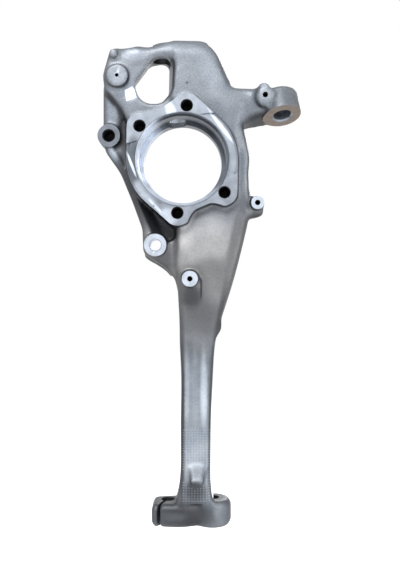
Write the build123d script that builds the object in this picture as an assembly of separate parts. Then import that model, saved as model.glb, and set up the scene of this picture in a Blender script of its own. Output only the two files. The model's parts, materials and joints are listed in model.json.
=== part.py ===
from build123d import *
import os
from math import cos, hypot, radians, sin, tan

# Cast aluminium steering knuckle with a long gooseneck, one piece, in millimetres.
# X runs across the car's length, Z up in this frame, and Y is the wheel axis, into the casting.
# The origin is the centre of the wheel bearing's bolt pattern, on its machined face.

# Hub
BOLT_CIRCLE = 120.0
BOLT_DIAMETERS = (85.0, 142.0)
BOLT_HOLE = 12.5
BOLT_DEPTH = 30.0
LOBE_RADIUS = 14.5
FLANGE_RADIUS = 62.5
LOWER_HOLLOW = 28.0
LOWER_HOLLOW_DEPTH = 56.0
UPPER_HOLLOW = 60.0
UPPER_HOLLOW_DEPTH = 62.0
BARREL_RADIUS = 58.0
LOBE_DEPTH = 38.0
HUB_DEPTH = 50.0
PILOT_BORE = 102.5
PILOT_DEPTH = 7.0
BEARING_BORE = 99.0
BEARING_DEPTH = 34.0
REAR_BORE = 90.5
BORE_CHAMFER = 2.0
BORE_CLEAR = 20.0
RELIEF_DEPTH = 1.6
RELIEF_CHAMFER = 2.5
RELIEF_LAND = 0.8
RELIEF_ENDS = (((-16.3, 22.0), (58.8, 6.0)), ((161.6, 195.0), (240.4, 200.0)))

# Wheel speed sensor
SENSOR_BORE = 20.0
SENSOR_X = -6.0
SENSOR_Y = 20.0
SENSOR_Z = 33.0
SENSOR_LEAN = 45.0
SENSOR_WALL = 3.0
SENSOR_REACH = 48.0

# Crown above the hub, with the access window and the two lower ball joint seats
CROWN_FRONT = 12.0
HUMP_FRONT = 10.0
CROWN_BACK = 44.0
CROWN_TOP = 139.0
CROWN_LEFT = -90.5
CROWN_RIGHT = 76.5
CROWN_EDGE = 5.0
BROW_HEIGHT = 14.0
BROW_DEPTH = 7.0
WINDOW_ROOF = 117.0
ROOF_THICKNESS = 12.5
WINDOW_PLATE_TOP = WINDOW_ROOF + ROOF_THICKNESS
WINDOW_FLOOR = 65.0
WINDOW_LEFT = -54.0
WINDOW_RIGHT = -9.0
POCKET_FLOOR = 18.0
POCKET_WALL = 9.0
STUD_BORE = 20.0
STUD_BOSS = 17.0
STUD_Y = 29.0
STUD_BOSS_HEIGHT = 21.0
WINDOW_STUD_X = -24.0
HUMP_STUD_X = 14.0

# Left rib, web and the two brake caliper ears
RIB_FRONT = 18.0
RIB_BACK = 40.0
RIB_WIDTH = 13.0
RIB_EDGE = 4.0
WEB_FRONT = 30.0
EAR_FRONT = 15.0
EAR_BACK = 42.0
EAR_RADIUS = 13.0
EAR_HOLE = 13.0
EAR_SKIN = 4.0
UPPER_EAR = (-83.4, 29.3)
LOWER_EAR = (-30.8, -94.6)

# Panel under the hub and the gooseneck, sections down from the hub
PANEL_LEFT = -6.0
PANEL_TOP = -30.0
NECK_WIDTH = 36.0
NECK_THICKNESS = 33.0
NECK_LEFT = -2.5
NECK_DEEPEST = 51.0
NECK_DISH = 2.2
BEAM_WALL = 7.5
POCKET_SHARE = 0.42
POCKET_DRAFT = 0.2

# Fork head with the two upper link clamps
HEAD_TOP = -390.5
HEAD_BOTTOM = -417.2
HEAD_FRONT = 17.0
HEAD_BACK = 63.0
HEAD_LEFT = -35.5
HEAD_RIGHT = 54.0
HEAD_EDGE = 7.0
CLAMP_BORE = 15.0
CLAMP_RADIUS = 22.0
LEFT_CLAMP = (-17.5, 44.0)
RIGHT_CLAMP = (34.2, 41.0)
RIGHT_CLAMP_DROP = 1.0
SLOT_WIDTH = 3.2
LEFT_SLOT_ANGLE = 24.0
PINCH_OFFSET = 14.0
PINCH_CLEARANCE = 9.0
PINCH_TAP = 6.8
PINCH_DEPTH = 15.0
CLAMP_RELIEF = 3.5

# Steering arm and its track rod eye
ARM_TOP = 83.0
ARM_ROOT_X = 52.0
ARM_EDGE = 4.0
EYE_CENTRE = (114.0, 19.0, 51.0)
EYE_RADIUS = 21.5
EYE_HEIGHT = 29.0
EYE_BORE = 20.0
EYE_CHAMFER = 1.6
EYE_EDGE = 2.5
EYE_LEAN_OUT = 8.0
EYE_LEAN_BACK = 20.0

# Small tapped bosses for the brake dust shield and the hose and cable brackets
TAP_HOLE = 5.0
TAP_DEPTH = 14.0
SHIELD_BOSS = 7.8
SIDE_BOSS = (84.6, -47.6)
SIDE_BOSS_FACE = 6.0
SIDE_BOSS_FOOT = 30.0
NECK_BOSS = (8.6, -133.0)
NECK_BOSS_FACE = 8.0
NECK_BOSS_RADIUS = 9.3
CORNER_BOSS = (-73.1, 94.8)
CORNER_BOSS_FACE = 7.0
CORNER_BOSS_RADIUS = 12.8
CORNER_HOLE = 3.5
ARM_BOSS = (93.0, 72.6)
ARM_BOSS_FACE = 6.0
ARM_BOSS_RADIUS = 9.2
ARM_BOSS_FOOT = 20.0
ARM_BUMP = (92.0, 80.0)
ARM_BUMP_RADIUS = 7.5
NUB = (-77.5, 120.5)
NUB_FACE = 8.0
NUB_RADIUS = 5.0
REST_PAD = (-75.4, 82.0)
REST_PAD_RADIUS = 8.0
REST_PAD_FACE = 10.8
TOP_PAD = (-50.5, 121.5)
TOP_PAD_RADIUS = 11.0
PANEL_LEDGE = 45.3

# Raised clip lug low on the neck, and the tail that carries the neck boss
LUG_WIDTH = 18.4
LUG_MIDDLE = 16.5
LUG_TOP = -347.0
LUG_CREST = -363.0
LUG_FOOT = -381.0
LUG_PROUD = 15.5
TAIL_WIDTH = 21.8
TAIL_FOOT = -166.0
TAIL_FACE = 13.0


def slab(outline, front, back):
    """Extrude an outline drawn in X and Z between two depths behind the hub face."""
    return extrude(Plane.XZ.offset(-front) * outline, amount=front - back)


def post(centre, radius, front, back):
    """A round post or hole along Y at an X and Z place."""
    return slab(Pos(*centre) * Circle(radius), front, back)


def cone_post(centre, front_radius, back_radius, front, back):
    """A cast boss along Y that widens from its face to its foot."""
    face = Plane.XZ.offset(-front) * Pos(*centre) * Circle(front_radius)
    foot = Plane.XZ.offset(-back) * Pos(*centre) * Circle(back_radius)
    return loft([face, foot])


def upright(x, y, radius, low, high):
    """A round post or hole along Z."""
    return Pos(x, y, low) * Cylinder(radius, high - low, align=(Align.CENTER, Align.CENTER, Align.MIN))


def rounded(points, radii):
    """A closed outline of straight runs joined by tangent arcs."""
    return make_face(FilletPolyline(*points, radius=radii, close=True))


def bolt_places():
    """The four bolt centres lie on two unequal diameters of the bolt circle."""
    places = []
    for angle in BOLT_DIAMETERS:
        for turn in (0.0, 180.0):
            a = radians(angle + turn)
            places.append((BOLT_CIRCLE / 2 * cos(a), BOLT_CIRCLE / 2 * sin(a)))
    return places


def flange_outline():
    """Disc and lobes wrapped tight, with a hollow between each close pair of lobes."""
    discs = [Circle(FLANGE_RADIUS)] + [Pos(*place) * Circle(LOBE_RADIUS) for place in bolt_places()]
    outline = make_hull([edge for disc in discs for edge in disc.edges()])
    first, second = BOLT_DIAMETERS
    middle = (first + second) / 2
    hollows = (
        (middle, UPPER_HOLLOW, UPPER_HOLLOW_DEPTH),
        (middle + 180, LOWER_HOLLOW, LOWER_HOLLOW_DEPTH),
    )
    for angle, radius, depth in hollows:
        a, reach = radians(angle), depth + radius
        outline -= Pos(reach * cos(a), reach * sin(a)) * Circle(radius)
    return outline


def hub_blank():
    """Lobed flange on a round barrel."""
    return slab(flange_outline(), 0, LOBE_DEPTH) + post((0, 0), BARREL_RADIUS, 0, HUB_DEPTH)


def relief(ends):
    """A shallow turned step in the flange face between two lines, with a chamfered rim."""
    outer = FLANGE_RADIUS + RELIEF_CHAMFER + RELIEF_LAND
    inner = PILOT_BORE / 2 + BORE_CHAMFER + RELIEF_LAND
    rim = FLANGE_RADIUS - RELIEF_CHAMFER
    profile = Polyline(
        (inner, -1),
        (outer, -1),
        (outer, RELIEF_DEPTH + outer - rim),
        (rim, RELIEF_DEPTH),
        (inner, RELIEF_DEPTH),
        close=True,
    )
    turned = revolve(make_face(profile), Axis.Y)
    lines = []
    for angle, heading in ends:
        a, h = radians(angle), radians(heading)
        x, z = rim * cos(a), rim * sin(a)
        lines.append([(x + reach * cos(h), z + reach * sin(h)) for reach in (-rim / 2, rim)])
    (low_in, low_out), (high_in, high_out) = lines
    middle = radians((ends[0][0] + ends[1][0]) / 2)
    far = (2 * rim * cos(middle), 2 * rim * sin(middle))
    limit = make_face(Polyline(low_in, low_out, far, high_out, high_in, close=True))
    return turned & slab(limit, -1, LOBE_DEPTH)


def hub_cuts():
    """Stepped bearing bore, tapped bolt holes and the turned reliefs."""
    cuts = post((0, 0), PILOT_BORE / 2, -1, PILOT_DEPTH)
    cuts += post((0, 0), BEARING_BORE / 2, 0, BEARING_DEPTH)
    cuts += post((0, 0), REAR_BORE / 2, 0, HUB_DEPTH + BORE_CLEAR)
    lead = PILOT_BORE / 2 + BORE_CHAMFER
    cuts += cone_post((0, 0), lead, lead - 2 * BORE_CHAMFER, 0, 2 * BORE_CHAMFER)
    for place in bolt_places():
        cuts += post(place, BOLT_HOLE / 2, -1, BOLT_DEPTH)
    for ends in RELIEF_ENDS:
        cuts += relief(ends)
    return cuts


def crown():
    """Upper casting: the plate round the window and the hump over the hub."""
    outline = rounded(
        [
            (CROWN_LEFT + 8.5, WINDOW_PLATE_TOP - 2),
            (-50, WINDOW_PLATE_TOP + 2),
            (-36, WINDOW_PLATE_TOP + 0.5),
            (-9, CROWN_TOP - 0.5),
            (31, CROWN_TOP),
            (54, ARM_TOP),
            (66, ARM_TOP),
            (66, 46),
            (71, 36),
            (CROWN_RIGHT, 4),
            (CROWN_RIGHT - 1.5, -12),
            (CROWN_RIGHT, -62),
            (20, -40),
            (-62, 22),
            (-63, 44),
            (-71, 60),
            (CROWN_LEFT + 2.5, 78),
            (CROWN_LEFT, 98),
        ],
        [4, 20, 30, 40, 28, 14, 0, 0, 9, 40, 40, 0, 0, 8, 10, 20, 6, 20],
    )
    plate = slab(outline, CROWN_FRONT, CROWN_BACK)
    plate = fillet(plate.faces().sort_by(Axis.Y)[0].edges(), CROWN_EDGE)
    hump = rounded(
        [
            (-12, 70),
            (-9, CROWN_TOP - 4),
            (30, CROWN_TOP - 1),
            (52, ARM_TOP - 2),
            (66, ARM_TOP - 8),
            (62, 30),
            (0, 50),
        ],
        [6, 12, 26, 14, 8, 6, 6],
    )
    front = slab(hump, HUMP_FRONT, CROWN_FRONT + CROWN_EDGE)
    return plate + front


def brow():
    """Sloping cut that rolls the crown's top edge back from its front face."""
    rows = (
        (NUB[0] + NUB_RADIUS, CROWN_FRONT, WINDOW_ROOF, BROW_DEPTH + 2),
        (WINDOW_RIGHT, HUMP_FRONT, CROWN_TOP - BROW_HEIGHT, BROW_DEPTH),
        (HUMP_STUD_X + 34, HUMP_FRONT, CROWN_TOP - BROW_HEIGHT, BROW_DEPTH),
    )
    sections = []
    for x, front, low, depth in rows:
        corners = [(-1, low), (front, low), (front + depth, CROWN_TOP + 2), (-1, CROWN_TOP + 2)]
        sections.append(Plane.YZ.offset(x) * make_face(Polyline(*corners, close=True)))
    return loft(sections, ruled=True)


def window():
    """The D-shaped access window through the plate."""
    outline = rounded(
        [
            (WINDOW_LEFT, 87),
            (WINDOW_LEFT + 23, WINDOW_ROOF),
            (WINDOW_RIGHT, WINDOW_ROOF + 2),
            (WINDOW_RIGHT - 1, 80),
            (WINDOW_RIGHT - 14, WINDOW_FLOOR),
            (WINDOW_LEFT + 8, WINDOW_FLOOR),
        ],
        [14, 12, 8, 22, 16, 17],
    )
    return slab(outline, -1, CROWN_BACK + 1)


def crown_pocket():
    """Lightening pocket behind the hump, open to the back."""
    outline = rounded(
        [
            (WINDOW_RIGHT + POCKET_WALL, 78),
            (WINDOW_RIGHT + POCKET_WALL, CROWN_TOP - STUD_BOSS_HEIGHT / 2),
            (28, CROWN_TOP - STUD_BOSS_HEIGHT / 2),
            (45, 80),
            (60, 72),
            (58, 52),
            (30, 66),
        ],
        [6, 8, 12, 10, 6, 6, 10],
    )
    return slab(outline, POCKET_FLOOR, CROWN_BACK + 1)


def rib_valley():
    """Slope that falls from the rib's edge to the web beside the hub."""
    edge = [(-33, -100), (-46, -76), (-71, -12), (-86, 14), (-76, 56)]
    reach = 3 * RIB_WIDTH
    slope = [
        (RIB_WIDTH / 2, RIB_FRONT - 1),
        (RIB_WIDTH / 2 + WEB_FRONT - RIB_FRONT, WEB_FRONT),
        (reach, WEB_FRONT),
        (reach, 0),
        (RIB_WIDTH / 2, 0),
    ]
    valley = Part()
    for (x, z), (next_x, next_z) in zip(edge, edge[1:]):
        length = hypot(next_x - x, next_z - z)
        up = ((next_x - x) / length, 0, (next_z - z) / length)
        start = Plane(origin=(x, 0, z), x_dir=(up[2], 0, -up[0]), z_dir=up)
        valley += extrude(start * make_face(Polyline(*slope, close=True)), length)
    limit = slab(Pos(PANEL_LEFT - 2 - 2 * reach, -20) * Rectangle(4 * reach, 170), 0, HUB_DEPTH)
    return valley & limit


def left_rib():
    """Rounded rib down the left edge, the web behind it and the caliper ears."""
    outline = rounded(
        [
            (CROWN_LEFT, 92),
            (CROWN_LEFT, 30),
            (-88, 12),
            (-71, -12),
            (-57, -46),
            (-46, -76),
            (-45, -104),
            (-20, -119.5),
            (-9, -133),
            (PANEL_LEFT + 1, -156),
            (PANEL_LEFT + 21, -156),
            (PANEL_LEFT + 21, 0),
            (-50, 60),
            (-72, 92),
        ],
        [8, 20, 12, 60, 80, 20, 10, 20, 16, 0, 0, 0, 0, 0],
    )
    rib = slab(outline, RIB_FRONT, RIB_BACK)
    rib = chamfer(rib.faces().sort_by(Axis.Y)[0].edges(), RIB_EDGE)
    rib = split(rib, Plane.YZ.offset(PANEL_LEFT + 5), keep=Keep.BOTTOM)
    tail = [(0, -112), (RIB_FRONT - 1, -112), (RIB_BACK, -146), (RIB_BACK + 1, -170), (0, -170)]
    rib -= extrude(Plane.YZ.offset(2 * CROWN_LEFT) * make_face(Polyline(*tail, close=True)), 400)
    web = rib - rib_valley()
    for ear in (UPPER_EAR, LOWER_EAR):
        web += post(ear, EAR_RADIUS, EAR_FRONT, EAR_BACK)
    return web


def ear_cuts():
    """Caliper bolt holes with their machined faces."""
    cuts = post(UPPER_EAR, EAR_HOLE / 2, 0, EAR_BACK - EAR_SKIN)
    return cuts + post(LOWER_EAR, EAR_HOLE / 2, 0, EAR_BACK + 1)


def beam_section(z, left, right, front, back, flank, dish):
    """One level section of the panel or neck, its front face dished by a chosen depth."""
    middle = (left + right) / 2
    edge = min(4.0, (back - front) / 5)
    bow = ThreePointArc((left + edge, front), (middle, front + dish), (right - flank, front))
    turn = flank * (1 - sin(radians(45)))
    corners = [
        (right - flank, front),
        (right - turn, front + turn),
        (right, front + flank),
        (right, back - edge),
        (right - edge, back),
        (left + edge, back),
        (left, back - edge),
        (left, front + edge),
        (left + edge, front),
    ]
    outline = Curve() + [bow, Polyline(*corners)]
    return Plane.XY.offset(z) * make_face(outline)


def beam_rows():
    """Level, left and right edges, front and back depths, flank and dish, evenly down from the hub."""
    wide, left = NECK_WIDTH, NECK_LEFT
    deep, thick = NECK_DEEPEST, NECK_THICKNESS
    shapes = [
        (PANEL_LEFT, CROWN_RIGHT, CROWN_FRONT, CROWN_BACK + 2, 13, -0.2),
        (PANEL_LEFT, CROWN_RIGHT - 1, CROWN_FRONT, CROWN_BACK + 3, 13, -0.2),
        (PANEL_LEFT, 67.3, CROWN_FRONT + 2.5, CROWN_BACK + 6, 13, -0.2),
        (PANEL_LEFT, 58, CROWN_FRONT + 11, CROWN_BACK + 14, 12, -0.2),
        (PANEL_LEFT + 1.5, 47, deep - 14, deep - 14 + thick, 10, 0.2),
        (left - 1.5, left + wide + 4.5, deep - 3, deep - 3 + thick, 7, 1.0),
        (left, left + wide + 2, deep, deep + thick, 6, NECK_DISH),
        (left, left + wide, deep - 7, deep - 7 + thick, 5, NECK_DISH),
        (left, left + wide - 1, deep - 17, deep - 17 + thick, 5, NECK_DISH),
        (left, left + wide - 1.5, deep - 26, deep - 26 + thick, 5, 0.4),
        (left - 6, left + wide + 3.5, HEAD_FRONT + 3, HEAD_BACK - 4, 4, 0.2),
    ]
    pitch = (PANEL_TOP - HEAD_TOP) / (len(shapes) - 1)
    return [(PANEL_TOP - i * pitch, *shape) for i, shape in enumerate(shapes)]


def beam():
    """Tapering panel under the hub that runs on as the gooseneck to the fork head."""
    return loft([beam_section(*row) for row in beam_rows()])


def beam_pocket():
    """Channel along the back of the panel and neck, running out shallow at both ends."""
    sections = []
    rows = beam_rows()[2:-1]
    for i, (z, left, right, front, back, flank, _) in enumerate(rows):
        depth = 0.5 if i in (0, len(rows) - 1) else POCKET_SHARE * (back - front)
        low, high = left + BEAM_WALL, right - BEAM_WALL - flank / 4
        draft = depth * POCKET_DRAFT
        walls = [(low - draft, back + depth), (high + draft, back + depth)]
        floor = [(high - draft, back - depth), (low + draft, back - depth)]
        shape = make_face(Polyline(*walls, *floor, close=True))
        sections.append(Plane.XY.offset(z) * shape)
    return loft(sections)


def fork_head():
    """Fork head: a bar across the neck's end with a round boss at the right clamp."""
    plan = rounded(
        [
            (HEAD_LEFT, HEAD_FRONT + 4),
            (HEAD_LEFT, HEAD_BACK - 4),
            (LEFT_CLAMP[0] + 6, HEAD_BACK),
            (RIGHT_CLAMP[0] + 4, HEAD_BACK - 1),
            (HEAD_RIGHT - 2, HEAD_BACK - 12),
            (HEAD_RIGHT - 2, HEAD_FRONT + 19),
            (RIGHT_CLAMP[0] - 12, HEAD_FRONT + 8),
            (0, HEAD_FRONT),
        ],
        [5, 6, 14, 16, 12, 6, 16, 40],
    )
    bar = Pos(0, 0, HEAD_BOTTOM) * extrude(plan, amount=HEAD_TOP - HEAD_BOTTOM)
    bar = chamfer(bar.faces().filter_by(Axis.Z).edges(), 0.8 * HEAD_EDGE, HEAD_EDGE / 2)
    low = HEAD_BOTTOM - RIGHT_CLAMP_DROP
    boss = upright(*RIGHT_CLAMP, CLAMP_RADIUS, low, HEAD_TOP + 3)
    boss = chamfer(boss.edges().filter_by(GeomType.CIRCLE), 0.8 * HEAD_EDGE, HEAD_EDGE / 2)
    return bar + boss


def clamp_cuts():
    """Stud bores, their slots and the pinch bolt holes."""
    low, high = HEAD_BOTTOM - 10, HEAD_TOP + 12
    middle = (HEAD_TOP + HEAD_BOTTOM) / 2
    cuts = upright(*LEFT_CLAMP, CLAMP_BORE / 2, low, high)
    cuts += upright(*RIGHT_CLAMP, CLAMP_BORE / 2, low, high)
    cuts += upright(*RIGHT_CLAMP, CLAMP_BORE / 2 + CLAMP_RELIEF, HEAD_TOP + 3, high)
    for centre, heading in ((LEFT_CLAMP, 270 - LEFT_SLOT_ANGLE), (RIGHT_CLAMP, 90)):
        slot = Box(40, SLOT_WIDTH, high - low, align=(Align.MIN, Align.CENTER, Align.CENTER))
        cuts += Pos(*centre, (low + high) / 2) * Rot(0, 0, heading) * slot
        a = radians(heading)
        at = (centre[0] + PINCH_OFFSET * cos(a), centre[1] + PINCH_OFFSET * sin(a), middle)
        along = Plane(origin=at, z_dir=(sin(a), -cos(a), 0))
        head_side = (Align.CENTER, Align.CENTER, Align.MIN)
        tap_side = (Align.CENTER, Align.CENTER, Align.MAX)
        cuts += along * Cylinder(PINCH_CLEARANCE / 2, 40, align=head_side)
        cuts += along * Cylinder(PINCH_TAP / 2, PINCH_DEPTH, align=tap_side)
    return cuts


def eye_plane():
    """The machined lower face of the track rod eye, Z up along its bore."""
    lean = (-tan(radians(EYE_LEAN_OUT)), tan(radians(EYE_LEAN_BACK)), 1)
    return Plane(origin=EYE_CENTRE, x_dir=(1, 0, tan(radians(EYE_LEAN_OUT))), z_dir=lean)


def steering_arm():
    """Arm from the crown's right side to the leaning track rod eye."""
    front = HUMP_FRONT + 1
    root = [(front, ARM_TOP + 1), (CROWN_BACK - 1, ARM_TOP + 1), (CROWN_BACK - 1, 38), (front, 38)]
    elbow = [(front, ARM_TOP), (CROWN_BACK - 2, ARM_TOP), (CROWN_BACK - 3, 41.5), (front + 2, 51)]
    tip = [(front - 3, 83), (CROWN_BACK - 6, 78), (CROWN_BACK - 4, 46), (front - 4, 58)]
    places = ((ARM_ROOT_X, root), (84, elbow), (EYE_CENTRE[0] - 7, tip))
    sections = []
    for x, points in places:
        outline = make_face(Polyline(*points, close=True))
        sections.append(Plane.YZ.offset(x) * chamfer(outline.vertices(), ARM_EDGE))
    arm = loft(sections)
    eye = eye_plane() * Cylinder(EYE_RADIUS, EYE_HEIGHT, align=(Align.CENTER, Align.CENTER, Align.MIN))
    eye = chamfer(eye.edges().filter_by(GeomType.CIRCLE).sort_by(Axis.Z)[-1], EYE_EDGE)
    below = (Align.CENTER, Align.CENTER, Align.MAX)
    above = (Align.CENTER, Align.CENTER, Align.MIN)
    trim = eye_plane() * Box(2 * EYE_RADIUS, 2 * EYE_RADIUS + 20, EYE_HEIGHT, align=below)
    trim += eye_plane().offset(EYE_HEIGHT) * Cylinder(EYE_RADIUS + 1, EYE_HEIGHT, align=above)
    return (arm - trim) + eye


def eye_cuts():
    """Track rod bore with a chamfer at its lower face."""
    up = (Align.CENTER, Align.CENTER, Align.CENTER)
    bore = eye_plane() * Cylinder(EYE_BORE / 2, 4 * EYE_HEIGHT, align=up)
    mouth = eye_plane() * Cone(
        EYE_BORE / 2 + EYE_CHAMFER, EYE_BORE / 2, EYE_CHAMFER, align=(Align.CENTER, Align.CENTER, Align.MIN)
    )
    return bore + mouth


def small_bosses():
    """Tapped bosses, the locating nub and the ball joint seats in the crown."""
    bosses = cone_post(SIDE_BOSS, SHIELD_BOSS, SHIELD_BOSS + 1.5, SIDE_BOSS_FACE, SIDE_BOSS_FOOT)
    x, z = SIDE_BOSS
    lug = [(x - 18, z + 9), (x + 1, z + 8), (x + 7.5, z - 2), (x + 7, z - 13), (x - 1, z - 16), (x - 18, z - 18)]
    bosses += slab(rounded(lug, [0, 5, 8, 4, 6, 0]), SIDE_BOSS_FACE + 9, SIDE_BOSS_FOOT)
    bosses += cone_post(NECK_BOSS, NECK_BOSS_RADIUS, NECK_BOSS_RADIUS + 3, NECK_BOSS_FACE, 40)
    bosses += post(CORNER_BOSS, CORNER_BOSS_RADIUS, CORNER_BOSS_FACE, CROWN_BACK - 2)
    bosses += post(ARM_BOSS, ARM_BOSS_RADIUS, ARM_BOSS_FACE, ARM_BOSS_FOOT)
    bosses += post(ARM_BUMP, ARM_BUMP_RADIUS, ARM_BOSS_FACE + 1, ARM_BOSS_FOOT)
    bosses += post(NUB, NUB_RADIUS, NUB_FACE, 30)
    bosses += post(TOP_PAD, TOP_PAD_RADIUS, CROWN_FRONT + 1, CROWN_BACK - 4)
    bosses += post(REST_PAD, REST_PAD_RADIUS, REST_PAD_FACE, CROWN_BACK - 4)
    ledge = rounded(
        [(36, -150), (PANEL_LEDGE, -164), (PANEL_LEDGE, -192), (PANEL_LEDGE - 6.5, -203), (36, -212)],
        [0, 14, 10, 4, 0],
    )
    bosses += slab(ledge, NECK_DEEPEST - 4, NECK_DEEPEST + 18)
    return bosses


def across(profile, middle, width):
    """Extrude an outline drawn in Y and Z evenly to both sides of a place on X."""
    return extrude(Plane.YZ.offset(middle) * make_face(Polyline(*profile, close=True)), width / 2, both=True)


def neck_boss_tail():
    """Rounded ramp that carries the neck boss down to the receding neck."""
    deep = NECK_DEEPEST
    ramp = [
        (TAIL_FACE, NECK_BOSS[1]),
        (TAIL_FACE, NECK_BOSS[1] - NECK_BOSS_RADIUS),
        (deep - 16, TAIL_FOOT),
        (deep, TAIL_FOOT),
        (deep, NECK_BOSS[1]),
    ]
    half = TAIL_WIDTH / 2
    middle = NECK_BOSS[0] + 1.5
    plan = Pos(middle, TAIL_FOOT + half) * Circle(half)
    plan += Pos(middle, (NECK_BOSS[1] + TAIL_FOOT + half) / 2) * Rectangle(
        TAIL_WIDTH, NECK_BOSS[1] - TAIL_FOOT - half
    )
    return across(ramp, middle, 2 * TAIL_WIDTH) & slab(plan, 0, deep)


def neck_lug():
    """Raised lug that a hose clip snaps over, with a face that leans out to its crest."""
    skin = NECK_DEEPEST - 24
    ramp = [
        (skin, LUG_TOP),
        (LUG_PROUD, LUG_CREST),
        (LUG_PROUD + 1.5, LUG_CREST - 3),
        (skin - 3, LUG_FOOT),
        (skin + 6, LUG_FOOT),
        (skin + 6, LUG_TOP),
    ]
    half = LUG_WIDTH / 2
    plan = [
        (LUG_MIDDLE - half, LUG_TOP),
        (LUG_MIDDLE + half, LUG_TOP),
        (LUG_MIDDLE + half - 1, LUG_CREST + 6),
        (LUG_MIDDLE + half / 2, LUG_FOOT),
        (LUG_MIDDLE - half / 2, LUG_FOOT),
        (LUG_MIDDLE - half + 1, LUG_CREST + 6),
    ]
    return across(ramp, LUG_MIDDLE, LUG_WIDTH) & slab(rounded(plan, [2, 2, 8, 3, 3, 8]), 0, NECK_DEEPEST)


def stud_seats():
    """X place, underside and top of the two lower ball joint seats."""
    window_seat = (WINDOW_STUD_X, WINDOW_ROOF + 1, WINDOW_PLATE_TOP)
    hump_seat = (HUMP_STUD_X, CROWN_TOP - STUD_BOSS_HEIGHT, CROWN_TOP - 1)
    return window_seat, hump_seat


def stud_bosses():
    """Upright bosses of the two lower ball joint seats."""
    bosses = [upright(x, STUD_Y, STUD_BOSS, low, top) for x, low, top in stud_seats()]
    return bosses[0] + bosses[1]


def stud_cuts():
    """Bores of the two lower ball joint seats."""
    bores = [
        upright(x, STUD_Y, STUD_BORE / 2, low - 8, CROWN_TOP + 1) for x, low, top in stud_seats()
    ]
    return bores[0] + bores[1]


def sensor_plane():
    """Start of the wheel speed sensor's bore, Z out along it."""
    lean = radians(SENSOR_LEAN)
    return Plane(origin=(SENSOR_X, SENSOR_Y, SENSOR_Z), x_dir=(1, 0, 0), z_dir=(0, sin(lean), cos(lean)))


def tapped_holes():
    """Blind tapped holes of the small bosses."""
    holes = post(SIDE_BOSS, TAP_HOLE / 2, 0, SIDE_BOSS_FACE + TAP_DEPTH)
    holes += post(NECK_BOSS, TAP_HOLE / 2, 0, NECK_BOSS_FACE + TAP_DEPTH)
    holes += post(ARM_BOSS, TAP_HOLE / 2, 0, ARM_BOSS_FACE + TAP_DEPTH)
    holes += post(CORNER_BOSS, CORNER_HOLE / 2, 0, CORNER_BOSS_FACE + TAP_DEPTH)
    return holes


def knuckle():
    """The whole casting, then its machining."""
    casting = crown() - window() - crown_pocket() + stud_bosses() - brow()
    for piece in (left_rib(), beam(), fork_head(), steering_arm(), hub_blank()):
        casting += piece
    casting -= beam_pocket()
    casting += small_bosses() + neck_boss_tail() + neck_lug()
    out = (Align.CENTER, Align.CENTER, Align.MIN)
    casting += sensor_plane() * Cylinder(SENSOR_BORE / 2 + SENSOR_WALL, SENSOR_REACH, align=out)
    casting -= sensor_plane() * Cylinder(SENSOR_BORE / 2, SENSOR_REACH + 1, align=out)
    for cuts in (hub_cuts(), ear_cuts(), clamp_cuts(), eye_cuts(), stud_cuts(), tapped_holes()):
        casting -= cuts
    return casting


os.makedirs("parts", exist_ok=True)
part = knuckle()
print("solids", len(part.solids()), "volume", round(part.volume), "box", part.bounding_box())
export_step(part, "parts/steering_knuckle.step")
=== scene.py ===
# %% [markdown]
# # A cast aluminium steering knuckle
#
# A steering knuckle carries the wheel bearing and turns with the wheel. This one is a single
# gravity casting in aluminium with a long gooseneck, and only its joint faces and holes are machined.
# The lesson follows the foundry and the machine shop: first the rough casting with stock on every
# face that will be cut, then the machining, and last the finishes and the studio.

import json
from math import atan2, cos, hypot, pi, radians, sin, sqrt, tan

import bmesh
import bpy
import numpy as np
from mathutils import Matrix, Vector
from mathutils.bvhtree import BVHTree
from mathutils.geometry import convex_hull_2d
from mathutils.kdtree import KDTree

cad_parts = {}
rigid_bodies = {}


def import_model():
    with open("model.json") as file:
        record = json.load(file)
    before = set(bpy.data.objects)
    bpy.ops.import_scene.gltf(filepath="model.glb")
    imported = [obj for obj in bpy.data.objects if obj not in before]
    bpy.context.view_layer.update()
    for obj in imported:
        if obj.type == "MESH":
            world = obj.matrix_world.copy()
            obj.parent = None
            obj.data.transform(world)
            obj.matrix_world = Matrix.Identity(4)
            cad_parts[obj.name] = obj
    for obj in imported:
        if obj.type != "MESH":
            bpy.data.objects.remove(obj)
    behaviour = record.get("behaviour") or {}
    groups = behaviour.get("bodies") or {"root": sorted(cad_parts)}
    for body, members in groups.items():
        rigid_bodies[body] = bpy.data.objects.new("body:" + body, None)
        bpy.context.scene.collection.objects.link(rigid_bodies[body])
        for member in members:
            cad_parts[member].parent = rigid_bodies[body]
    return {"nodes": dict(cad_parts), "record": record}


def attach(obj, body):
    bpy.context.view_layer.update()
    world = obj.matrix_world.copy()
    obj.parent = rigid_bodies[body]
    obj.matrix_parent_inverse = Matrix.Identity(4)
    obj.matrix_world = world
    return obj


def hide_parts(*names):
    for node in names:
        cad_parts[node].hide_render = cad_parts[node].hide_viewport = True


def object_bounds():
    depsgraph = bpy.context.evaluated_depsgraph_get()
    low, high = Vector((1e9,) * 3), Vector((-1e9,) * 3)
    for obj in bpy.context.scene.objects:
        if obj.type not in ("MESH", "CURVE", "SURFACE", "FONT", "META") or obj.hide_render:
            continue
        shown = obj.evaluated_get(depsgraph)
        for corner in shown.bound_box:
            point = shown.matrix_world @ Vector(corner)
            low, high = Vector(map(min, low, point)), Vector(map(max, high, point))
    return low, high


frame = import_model()
cad_box = [list(corner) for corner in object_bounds()]
MM = 0.001
print("CAD box in mm", [[round(v / MM, 1) for v in corner] for corner in cad_box])

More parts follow.
